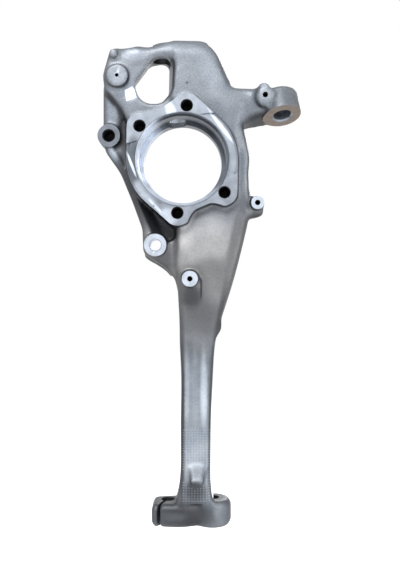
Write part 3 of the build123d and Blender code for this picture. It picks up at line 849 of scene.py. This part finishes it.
def sector(tree, place, level, mark):
    """Blend a level towards a value on one side of the bore's wall."""
    heading, half, wanted = mark
    flat = add_node(tree, "ShaderNodeVectorMath", {0: place, 1: (1, 0, 1)}, operation="MULTIPLY")
    reach = add_node(tree, "ShaderNodeVectorMath", {0: flat.outputs[0]}, operation="LENGTH")
    inside = add_node(
        tree,
        "ShaderNodeMath",
        {0: reach.outputs["Value"], 1: BORE_REACH * MM},
        operation="LESS_THAN",
    )
    way = add_node(tree, "ShaderNodeVectorMath", {0: flat.outputs[0]}, operation="NORMALIZE")
    aim = (cos(radians(heading)), 0, sin(radians(heading)))
    towards = add_node(
        tree, "ShaderNodeVectorMath", {0: way.outputs[0], 1: aim}, operation="DOT_PRODUCT"
    )
    share = add_node(
        tree,
        "ShaderNodeMapRange",
        {
            "Value": towards.outputs["Value"],
            "From Min": cos(radians(half * SECTOR_OUT)),
            "From Max": cos(radians(half * SECTOR_IN)),
        },
        interpolation_type="SMOOTHSTEP",
    )
    both = add_node(
        tree,
        "ShaderNodeMath",
        {0: share.outputs["Result"], 1: inside.outputs[0]},
        operation="MULTIPLY",
    )
    mixed = add_node(tree, "ShaderNodeMix", {0: both.outputs[0], 2: level, 3: wanted})
    return mixed.outputs[0]


print("fields on the faces:", len(CUT_MARKS), "and in the bore:", len(BORE_MARKS))

# %% Machined aluminium
TURNING = 1.1 * MM  # the feed of the cutter is about 0.2 mm; drawn coarser so that it shows
WAVE_LENGTH = 0.314  # a wave texture of scale 1 repeats after this length
LINE_DEPTH = 0.05 * MM
SMEAR = 11.0 * MM  # size of the cloudy smears of cutting fluid
SMEAR_RANGE = (0.78, 1.12)  # how far they darken and lighten the metal
UNLIT, LIT = "#1d232c", "#e2ecfb"  # a face that mirrors the room's dark, and one its lamps

machined, tree, place = new_material("machined_aluminium")
upright = add_node(tree, "ShaderNodeMapping", {"Vector": place, "Rotation": (pi / 2, 0, 0)})
rings = add_node(
    tree,
    "ShaderNodeTexWave",
    {
        "Vector": upright.outputs["Vector"],
        "Scale": WAVE_LENGTH / TURNING,
        "Distortion": 0.6,
        "Detail": 1.0,
    },
    wave_type="RINGS",
    rings_direction="Z",
)
cut_tone = CUT_TONE
for mark in CUT_MARKS:
    cut_tone = patch(tree, place, cut_tone, mark)
for mark in BORE_MARKS:
    cut_tone = sector(tree, place, cut_tone, mark)
smear = add_node(tree, "ShaderNodeTexNoise", {"Vector": place, "Scale": 1 / SMEAR, "Detail": 5.0})
smear_share = add_node(
    tree,
    "ShaderNodeMapRange",
    {
        "Value": smear.outputs["Fac"],
        "From Min": NOISE_LOW,
        "From Max": NOISE_HIGH,
        "To Min": SMEAR_RANGE[0],
        "To Max": SMEAR_RANGE[1],
    },
)
smeared = add_node(
    tree, "ShaderNodeMath", {0: cut_tone, 1: smear_share.outputs["Result"]}, operation="MULTIPLY"
)
sheen = add_node(
    tree,
    "ShaderNodeMix",
    {"Factor": smeared.outputs[0], 6: linear(UNLIT), 7: linear(LIT)},
    data_type="RGBA",
)
lines = add_node(
    tree,
    "ShaderNodeBump",
    {"Height": rings.outputs["Fac"], "Strength": 0.12, "Distance": LINE_DEPTH},
)
bright = add_node(
    tree,
    "ShaderNodeBsdfPrincipled",
    {
        "Base Color": sheen.outputs[2],
        "Metallic": 0.6,
        "Roughness": 0.36,
        "Normal": lines.outputs["Normal"],
    },
)
add_node(tree, "ShaderNodeOutputMaterial", {"Surface": bright.outputs["BSDF"]})
print("machined aluminium:", len(tree.nodes), "nodes")

# %% [markdown]
# ## Drilled walls and the stained face
#
# A drill leaves a rough, oily wall that the light hardly reaches, so a hole reads as nearly black.
# Rendering enough light bounces would find that too, but a dark material holds in any light: it is
# painted shade. The eye's lower face is painted brown and a little glossy, as a painted reflection
# of the warm brown surroundings below. Both are a plain metal with one noise that varies its colour.

# %% Dark metals: drilled walls and the painted brown reflection
OIL_BLOT = 3.0 * MM  # size of the blots on a drilled wall
TAN_REFLECTION_BLOT = 6.0 * MM  # and of those in the painted brown reflection


def mottled_metal(name, blot, detail, darker, lighter, roughness):
    """A metal whose colour varies between two colours, in blots of one size."""
    material, tree, place = new_material(name)
    mottle = add_node(
        tree, "ShaderNodeTexNoise", {"Vector": place, "Scale": 1 / blot, "Detail": detail}
    )
    colour = add_node(
        tree,
        "ShaderNodeMix",
        {"Factor": mottle.outputs["Fac"], 6: linear(darker), 7: linear(lighter)},
        data_type="RGBA",
    )
    metal = add_node(
        tree,
        "ShaderNodeBsdfPrincipled",
        {"Base Color": colour.outputs[2], "Metallic": 0.3, "Roughness": roughness},
    )
    add_node(tree, "ShaderNodeOutputMaterial", {"Surface": metal.outputs["BSDF"]})
    return material


drilled = mottled_metal("drilled_aluminium", OIL_BLOT, 2.0, "#1d1e21", "#34363b", 0.6)
tan_reflection = mottled_metal("oil_stained_aluminium", TAN_REFLECTION_BLOT, 3.0, "#6f635a", "#95877c", 0.45)
print("materials:", cast_skin.name, machined.name, drilled.name, tan_reflection.name)

# %% [markdown]
# ## Machining
#
# Each cut is a solid: a slab that planes the hub face, turned bodies for the bores, drills for the
# bolts. They wait in one collection, and a single exact boolean takes them all away from the casting
# at once. Each cutter carries the finish that its tool leaves, and the boolean hands it to the faces
# it cuts, so bright metal appears only where a tool has been.

# %% Bearing bore and hub face
PILOT_RADIUS, PILOT_DEPTH = 51.25, 7.0
SEAT_DEPTH = 34.0
REAR_RADIUS = 45.25
BORE_CHAMFER = 2.0
BORE_LEAD = 6.0  # how far the boring tool starts before the face
REAR_CHAMFER = 4.0
REAR_OVERRUN = 3.0  # how far that chamfer runs out past the hub's back
MILL_LEAD, MILL_MARGIN = 12.0, 6.0  # above the face, and past the outermost lobe

cutters = bpy.data.collections.new("cutters")


def keep_cutter(name, builder, finish=None):
    """Turn a finished bmesh into a cutter, of machined metal unless told otherwise."""
    cutter = add_object(name, builder, finish or machined)
    bpy.context.collection.objects.unlink(cutter)
    cutters.objects.link(cutter)


bore = bmesh.new()
seat = hole("bearing_seat")[2]
mouth_radius = PILOT_RADIUS + BORE_CHAMFER
rear_end = HUB_DEPTH + REAR_OVERRUN
bore_steps = [
    (-BORE_LEAD, 0),
    (-BORE_LEAD, mouth_radius),
    (0, mouth_radius),
    (BORE_CHAMFER, PILOT_RADIUS),
    (PILOT_DEPTH, PILOT_RADIUS),
    (PILOT_DEPTH, seat),
    (SEAT_DEPTH, seat),
    (SEAT_DEPTH, REAR_RADIUS),
    (rear_end - REAR_CHAMFER, REAR_RADIUS),
    (rear_end, REAR_RADIUS + REAR_CHAMFER),
    (rear_end, 0),
]
turned(bore, bore_steps, segments=128)
keep_cutter("bearing_bore", bore)

face_mill = bmesh.new()
rod(face_mill, BOLT_CIRCLE / 2 + LOBE_RADIUS + MILL_MARGIN, -MILL_LEAD, 0, segments=96)
keep_cutter("face_mill", face_mill)

# %% [markdown]
# ## Reliefs in the hub face
#
# Left and right of the bore the flange is turned back a little, so that the bearing sits on its four
# lobes. Each relief is part of a ring with a chamfered rim, and ends in two straight lines. A boolean
# of a ring and a wedge would do, but slicing the ring with planes is quicker and leaves clean ends.

# %% Cutters for the reliefs
RELIEF_DEPTH, RELIEF_CHAMFER = 1.6, 2.5
RELIEF_LAND = 0.8  # mm past the flange's edge and short of the bore's
RELIEF_LEAD = 1.0
RELIEF_ENDS = (  # for each of the two end lines, where it crosses the rim and where it heads, degrees
    ((-16.3, 22.0), (58.8, 6.0)),
    ((161.6, 195.0), (240.4, 200.0)),
)


def cut_away(builder, place, outward):
    """Slice a closed mesh with a plane, drop what lies outward and close the cut."""
    geometry = builder.verts[:] + builder.edges[:] + builder.faces[:]
    cut = bmesh.ops.bisect_plane(
        builder, geom=geometry, plane_co=place, plane_no=outward, clear_outer=True
    )
    rim = [item for item in cut["geom_cut"] if isinstance(item, bmesh.types.BMEdge)]
    bmesh.ops.holes_fill(builder, edges=rim)


def keep_part(builder, ends, reach):
    """Cut a turned ring back to the part between two lines that cross it."""
    middle = radians((ends[0][0] + ends[1][0]) / 2)
    cut_away(builder, Vector((0, 0, 0)), Vector((-cos(middle), 0, -sin(middle))))
    for sign, (angle, heading) in zip((1, -1), ends):
        a, h = radians(angle), radians(heading)
        place = Vector((reach * cos(a), 0, reach * sin(a)))
        cut_away(builder, place, Vector((sin(h), 0, -cos(h))) * sign)


rim = FLANGE_RADIUS - RELIEF_CHAMFER
outer = FLANGE_RADIUS + RELIEF_CHAMFER + RELIEF_LAND
inner = mouth_radius + RELIEF_LAND
relief_steps = [
    (-RELIEF_LEAD, inner),
    (-RELIEF_LEAD, outer),
    (RELIEF_DEPTH + outer - rim, outer),
    (RELIEF_DEPTH, rim),
    (RELIEF_DEPTH, inner),
    (-RELIEF_LEAD, inner),
]
for ends in RELIEF_ENDS:
    relief = bmesh.new()
    turned(relief, relief_steps, segments=128)
    bmesh.ops.remove_doubles(relief, verts=relief.verts, dist=WELD)
    keep_part(relief, ends, rim)
    keep_cutter("relief", relief)
print("reliefs:", len(RELIEF_ENDS))

# %% [markdown]
# ## Drills, spot faces and saw cuts
#
# Every other hole is drilled from its mouth and gets a small countersink, and the ears, two bosses
# and the eye are planed round it. One function for a drill and one for a spot face do all of them,
# since the record says where each one goes. Blind holes end in the drill's cone.

# %% Cutters for the other holes
DRILL_LEAD = 3.0
DRILL_POINT = 0.55  # length of a drill's point as a share of its radius
DRILL_EXIT = 1.0
FACE_MARGIN = 1.5  # mm by which a spot face is wider than its boss
EYE_MARGIN = 3.0
EYE_LEAD = 14.0  # the eye leans, so its cutter starts higher above the face


def drill(name, countersink, blind, finish=drilled):
    """A drill that goes in at a mount's mouth, with a small countersink."""
    mouth, inward, radius, length = hole(name)
    wide = radius + countersink
    steps = [(-DRILL_LEAD, 0), (-DRILL_LEAD, wide), (0, wide), (countersink, radius)]
    if blind:
        steps += [(length, radius), (length + DRILL_POINT * radius, 0)]
    else:
        end = length + DRILL_EXIT
        steps += [(length - countersink, radius), (length, wide), (end, wide), (end, 0)]
    builder = bmesh.new()
    turned(builder, steps, mouth, inward, segments=48)
    keep_cutter(name, builder, finish)


def spot_face(name, radius, lead=9.0, finish=None):
    """A counterbore that planes the face round a mount's mouth."""
    mouth, inward, _, _ = hole(name)
    builder = bmesh.new()
    rod(builder, radius, -lead, 0, mouth, inward)
    keep_cutter(name + "_face", builder, finish)


for name in HUB_BOLTS:
    drill(name, countersink=0.8, blind=True)
for name in EARS:
    spot_face(name, EAR_RADIUS + FACE_MARGIN)
drill("upper_caliper_ear", countersink=1.0, blind=True)
drill("lower_caliper_ear", countersink=1.0, blind=False, finish=machined)
for name, radius in BOSS_RADII.items():
    if name != "arm_bracket_hole":  # this boss is left as cast round its hole
        spot_face(name, radius + FACE_MARGIN)
    drill(name, countersink=0.6, blind=True)
drill("corner_pin_hole", countersink=0.3, blind=True)
# the eye's lower face gets the painted brown reflection
spot_face("track_rod_eye", EYE_RADIUS + EYE_MARGIN, EYE_LEAD, finish=tan_reflection)
drill("track_rod_eye", countersink=1.6, blind=False, finish=machined)
for name in CLAMPS + STUD_SEATS:
    drill(name, countersink=0.8, blind=False)
drill("speed_sensor_hole", countersink=0.5, blind=False, finish=machined)

# %% Milled spot and clamp slots
DATUM_SPOT = [(-64.9, 80.0), (-56.1, 84.2), (-53.6, 80.0), (-51.9, 71.5), (-63.2, 67.3)]
DATUM_ENDS = (0.0, 12.6)  # the crown's face lies at 12 mm, so the spot is 0.6 mm deep
SAW_ENDS = (0.0, 42.0)  # mm from the bore's axis to both ends of the saw cut
SAW_OVERRUN = 4.0  # mm by which the blade is wider than the head is thick

datum = bmesh.new()
prism(datum, DATUM_SPOT, *DATUM_ENDS)
keep_cutter("datum_spot", datum)
for name in CLAMPS:
    saw = bmesh.new()
    slot_box(saw, name, SAW_ENDS, SLOT_WIDTH, hole(name)[3] + SAW_OVERRUN)
    keep_cutter(name + "_slot", saw, drilled)

# %% [markdown]
# ## Window
#
# The window for the joint's nut is not machined. A core in the mould keeps it open, and the core
# tapers, so the wall on its right leans in and shows as a dark strip from the front. It is cut here
# with the other tools all the same, as a slanted prism with rounded corners, but it carries the cast
# skin, because that is what a core leaves.

# %% Core of the window
WINDOW = (  # corner x, z and radius of the window's front edge, mm
    (-54.0, 87.0, 14.0),
    (-31.0, 117.0, 12.0),
    (-9.0, 119.0, 8.0),
    (-10.0, 80.0, 22.0),
    (-23.0, 65.0, 16.0),
    (-46.0, 65.0, 17.0),
)
CORE_DRAFT = (-7.5, -1.0)  # how far the core's back end is shifted in x and z, mm
CORE_ENDS = (8.0, 48.0)


def rounded_outline(corners, steps=10):
    """Polygon corners turned into arcs that touch both neighbouring sides."""
    points = []
    for i, (x, z, radius) in enumerate(corners):
        here = Vector((x, z))
        before = (Vector(corners[i - 1][:2]) - here).normalized()
        after = (Vector(corners[(i + 1) % len(corners)][:2]) - here).normalized()
        half = before.angle(after) / 2
        reach = radius / tan(half)
        start, end = here + before * reach, here + after * reach
        middle = here + (before + after).normalized() * radius / sin(half)
        for k in range(steps + 1):
            way = start.lerp(end, k / steps) - middle
            points.append(middle + way.normalized() * radius)
    return points


core = bmesh.new()
prism(core, rounded_outline(WINDOW), *CORE_ENDS, CORE_DRAFT)
keep_cutter("window_core", core, cast_skin)

# %% [markdown]
# ## Cutting and handing on what was measured
#
# The boolean makes new vertices on every cut, and they know nothing of openness or of the painted
# light and shade. Each vertex of the finished casting therefore takes the values of the nearest one
# on the rough casting. A data transfer modifier could do it too, but a search tree also serves the
# grip grid further down.

# %% Cut the casting
casting.data.materials.clear()
for finish in (cast_skin, machined, drilled, tan_reflection):
    casting.data.materials.append(finish)
cut = casting.modifiers.new("machining", "BOOLEAN")
cut.operation = "DIFFERENCE"
cut.operand_type = "COLLECTION"
cut.collection = cutters
cut.solver = "EXACT"
cut.material_mode = "TRANSFER"
apply_modifiers(casting)
for cutter in list(cutters.objects):
    bpy.data.objects.remove(cutter)
bpy.data.collections.remove(cutters)


def nearest_rough(piece):
    """For each vertex, the number of the nearest vertex of the rough casting."""
    return [rough_places.find(vertex.co)[1] for vertex in piece.data.vertices]


def write_values(piece, measured):
    """Store one number per vertex under each name, for the material to read."""
    for label, values in measured.items():
        layer = piece.data.attributes.new(label, "FLOAT", "POINT")
        layer.data.foreach_set("value", values)


taken = nearest_rough(casting)
write_values(
    casting,
    {"openness": open_share[taken], "facing": facing[taken], "skin_tone": skin_tone[taken]},
)
print("cut casting:", len(casting.data.vertices), "vertices")

# %% [markdown]
# ## Grip grid on the neck
#
# The lower neck carries a fine grid that the mould leaves where the gripper holds the hot casting. It
# is a pattern of one small dome, so Geometry Nodes repeats it: a grid of points is thrown along +Y
# onto the casting, and each point that hits gets a dome. The same could be done by hand with 300
# copies, but the grid follows the neck by itself when its pitch or place changes.

# %% Grid by geometry nodes
GRID_PITCH = 2.75 * MM
GRID_LEFT, GRID_RIGHT = 1.0 * MM, 30.5 * MM
GRID_LOW, GRID_HIGH = -386.0 * MM, -309.0 * MM
DOME_RADIUS = 1.0 * MM
DOME_SINK = 0.65 * MM  # how deep a dome's centre sits in the skin
SHEET_Y = -0.1  # the points start this far in front of the hub face, in metres
THROW = 0.3  # and are thrown this far back at most
LUG_PLACE = (14.0 * MM, SHEET_Y, -358.0 * MM)
LUG_CLEARANCE = 14.0 * MM

grid_tree = bpy.data.node_groups.new("grip_grid", "GeometryNodeTree")
for label, kind, flow in (
    ("Geometry", "NodeSocketGeometry", "INPUT"),
    ("Casting", "NodeSocketObject", "INPUT"),
    ("Pitch", "NodeSocketFloat", "INPUT"),
    ("Dome radius", "NodeSocketFloat", "INPUT"),
    ("Lug clearance", "NodeSocketFloat", "INPUT"),
    ("Geometry", "NodeSocketGeometry", "OUTPUT"),
):
    grid_tree.interface.new_socket(name=label, in_out=flow, socket_type=kind)
given = add_node(grid_tree, "NodeGroupInput")
GRID_WIDTH, GRID_HEIGHT = GRID_RIGHT - GRID_LEFT, GRID_HIGH - GRID_LOW
wide = add_node(
    grid_tree, "ShaderNodeMath", {0: GRID_WIDTH, 1: given.outputs["Pitch"]}, operation="DIVIDE"
)
high = add_node(
    grid_tree, "ShaderNodeMath", {0: GRID_HEIGHT, 1: given.outputs["Pitch"]}, operation="DIVIDE"
)
sheet = add_node(
    grid_tree,
    "GeometryNodeMeshGrid",
    {
        "Size X": GRID_WIDTH,
        "Size Y": GRID_HEIGHT,
        "Vertices X": wide.outputs[0],
        "Vertices Y": high.outputs[0],
    },
)
upright_sheet = add_node(
    grid_tree,
    "GeometryNodeTransform",
    {
        "Geometry": sheet.outputs["Mesh"],
        "Translation": ((GRID_LEFT + GRID_RIGHT) / 2, SHEET_Y, (GRID_LOW + GRID_HIGH) / 2),
        "Rotation": (pi / 2, 0, 0),
    },
)
target = add_node(grid_tree, "GeometryNodeObjectInfo", {"Object": given.outputs["Casting"]})
throw = add_node(
    grid_tree,
    "GeometryNodeRaycast",
    {
        "Target Geometry": target.outputs["Geometry"],
        "Ray Direction": (0, 1, 0),
        "Ray Length": THROW,
    },
)
missed = add_node(
    grid_tree, "FunctionNodeBooleanMath", {0: throw.outputs["Is Hit"]}, operation="NOT"
)
point = add_node(grid_tree, "GeometryNodeInputPosition")
from_lug = add_node(
    grid_tree, "ShaderNodeVectorMath", {0: point.outputs[0], 1: LUG_PLACE}, operation="DISTANCE"
)
on_lug = add_node(
    grid_tree,
    "ShaderNodeMath",
    {0: from_lug.outputs["Value"], 1: given.outputs["Lug clearance"]},
    operation="LESS_THAN",
)
unwanted = add_node(
    grid_tree,
    "FunctionNodeBooleanMath",
    {0: missed.outputs[0], 1: on_lug.outputs[0]},
    operation="OR",
)
kept = add_node(
    grid_tree,
    "GeometryNodeDeleteGeometry",
    {"Geometry": upright_sheet.outputs["Geometry"], "Selection": unwanted.outputs[0]},
)
landed = add_node(
    grid_tree,
    "GeometryNodeSetPosition",
    {"Geometry": kept.outputs["Geometry"], "Position": throw.outputs["Hit Position"]},
)
dome = add_node(
    grid_tree,
    "GeometryNodeMeshUVSphere",
    {"Segments": 8, "Rings": 6, "Radius": given.outputs["Dome radius"]},
)
sunk = add_node(
    grid_tree,
    "GeometryNodeTransform",
    {"Geometry": dome.outputs["Mesh"], "Translation": (0, DOME_SINK, 0)},
)
copies = add_node(
    grid_tree,
    "GeometryNodeInstanceOnPoints",
    {"Points": landed.outputs["Geometry"], "Instance": sunk.outputs["Geometry"]},
)
real = add_node(
    grid_tree, "GeometryNodeRealizeInstances", {"Geometry": copies.outputs["Instances"]}
)
skinned = add_node(
    grid_tree,
    "GeometryNodeSetMaterial",
    {"Geometry": real.outputs["Geometry"], "Material": cast_skin},
)
add_node(grid_tree, "NodeGroupOutput", {"Geometry": skinned.outputs["Geometry"]})
print("grid's nodes:", len(grid_tree.nodes))

# %% Grip grid as a piece
DOME_WEAR = 0.22  # the blast strikes the domes first, so they are lighter than the skin under them

grip_grid = bpy.data.objects.new("grip_grid", bpy.data.meshes.new("grip_grid"))
bpy.context.collection.objects.link(grip_grid)
pattern = grip_grid.modifiers.new("pattern", "NODES")
pattern.node_group = grid_tree
named = {item.name: item.identifier for item in grid_tree.interface.items_tree if item.in_out == "INPUT"}
pattern[named["Casting"]] = casting
pattern[named["Pitch"]] = GRID_PITCH
pattern[named["Dome radius"]] = DOME_RADIUS
pattern[named["Lug clearance"]] = LUG_CLEARANCE
apply_modifiers(grip_grid)
grip_grid.data.materials.clear()
grip_grid.data.materials.append(cast_skin)
nearest = nearest_rough(grip_grid)
worn = np.minimum(skin_tone[nearest] + DOME_WEAR, 1.0)
write_values(
    grip_grid,
    {"openness": open_share[nearest], "facing": np.ones(len(nearest)), "skin_tone": worn},
)
print("grip grid:", len(grip_grid.data.polygons), "faces of", grip_grid.data.materials[0].name)
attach(grip_grid, "root")

# %% [markdown]
# ## Shading and hand-over of the casting
#
# A cast skin is round everywhere, while a cut face meets it at a crisp edge. Smooth shading with
# edges kept sharp above one angle shows both, without a bevel on every cut. Then the measured part
# is hidden, and the casting takes its place on the root body. Then the casting stands for the
# measured part, which stays hidden as the collision shape.

# %% Smooth shading and hand-over of the casting
SHARP_EDGE = radians(32.0)
for face in casting.data.polygons:
    face.use_smooth = True
casting.data.set_sharp_from_angle(angle=SHARP_EDGE)
triangles = sum(len(face.vertices) - 2 for face in casting.data.polygons)
print("machined casting:", triangles, "triangles, materials", [m.name for m in casting.data.materials])
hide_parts("steering_knuckle")
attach(casting, "root")

# %% [markdown]
# ## Studio
#
# The photograph is a catalogue shot: white all round, with one strong soft light from above and a
# weaker one from the right. A faint warm glow from below stands for the bench, and a light behind
# keeps the back readable from there. The background is made white only for the camera and for
# reflections, through the Light Path node, so the lamps can stay at a level at which a colour renders
# as it is written. The floor lies well below the part, which hangs by its hub as on the car, and
# still takes its shadow.

# %% Floor
FLOOR_DROP = 0.17
FLOOR_SIZE = 8.0
FLOOR_GLOW = 0.9  # with the lamps' light on it, this brings the floor to the background's white


def background_share(tree):
    """1 for a ray from the camera or a reflection, 0 for light that falls on the part."""
    path = add_node(tree, "ShaderNodeLightPath").outputs
    seen = path["Is Camera Ray"]
    for ray in ("Is Glossy Ray", "Is Transmission Ray"):
        wider = add_node(tree, "ShaderNodeMath", {0: seen, 1: path[ray]}, operation="MAXIMUM")
        seen = wider.outputs[0]
    return seen


floor_material, tree, place = new_material("pale_floor")
lift = add_node(
    tree, "ShaderNodeMath", {0: background_share(tree), 1: FLOOR_GLOW}, operation="MULTIPLY"
)
pale = add_node(tree, "ShaderNodeBsdfDiffuse", {"Color": linear("#e6e6e6")})
glow = add_node(
    tree, "ShaderNodeEmission", {"Color": linear("#ffffff"), "Strength": lift.outputs[0]}
)
both = add_node(tree, "ShaderNodeAddShader", {0: pale.outputs[0], 1: glow.outputs[0]})
add_node(tree, "ShaderNodeOutputMaterial", {"Surface": both.outputs[0]})

floor_builder = bmesh.new()
bmesh.ops.create_grid(floor_builder, x_segments=1, y_segments=1, size=FLOOR_SIZE / 2 / MM)
floor = add_object("floor", floor_builder, floor_material)
floor.location.z = cad_box[0][2] - FLOOR_DROP

print("floor at", round(floor.location.z, 3), "m")

# %% World
ROOM_LEVEL = 0.12  # light that comes from all round, beside the lamps

world = bpy.data.worlds.new("studio")
bpy.context.scene.world = world
world.use_nodes = True
tree = world.node_tree
tree.nodes.clear()
level = add_node(
    tree,
    "ShaderNodeMapRange",
    {"Value": background_share(tree), "To Min": ROOM_LEVEL, "To Max": 1.0},
)
air = add_node(
    tree, "ShaderNodeBackground", {"Color": linear("#ffffff"), "Strength": level.outputs["Result"]}
)
add_node(tree, "ShaderNodeOutputWorld", {"Surface": air.outputs[0]})
print("world:", len(tree.nodes), "nodes")


# %% Lamps
LAMP_SIZE = 0.7  # metres along one side
AIMED_AT = (0.0, 0.02, -0.1)  # the panel under the hub


def soft_box(name, place, target, power, tint="#ffffff"):
    """A square area lamp aimed at a point, in metres and watts."""
    data = bpy.data.lights.new(name, "AREA")
    data.size = LAMP_SIZE
    data.energy = power
    data.color = linear(tint)[:3]
    lamp = bpy.data.objects.new(name, data)
    lamp.location = place
    aim = Vector(target) - Vector(place)
    lamp.rotation_euler = aim.to_track_quat("-Z", "Y").to_euler()
    bpy.context.collection.objects.link(lamp)


soft_box("top_light", (-0.35, -1.5, 1.25), AIMED_AT, 30.0)
soft_box("side_light", (1.3, -1.4, 0.2), AIMED_AT, 10.0)
soft_box("bench_glow", (0.3, -0.5, -1.2), AIMED_AT, 4.0, "#d9a878")
soft_box("back_light", (0.5, 1.7, 0.7), AIMED_AT, 14.0)
bpy.context.scene.view_settings.view_transform = "Standard"
print("lamps:", [lamp.name for lamp in bpy.data.lights])
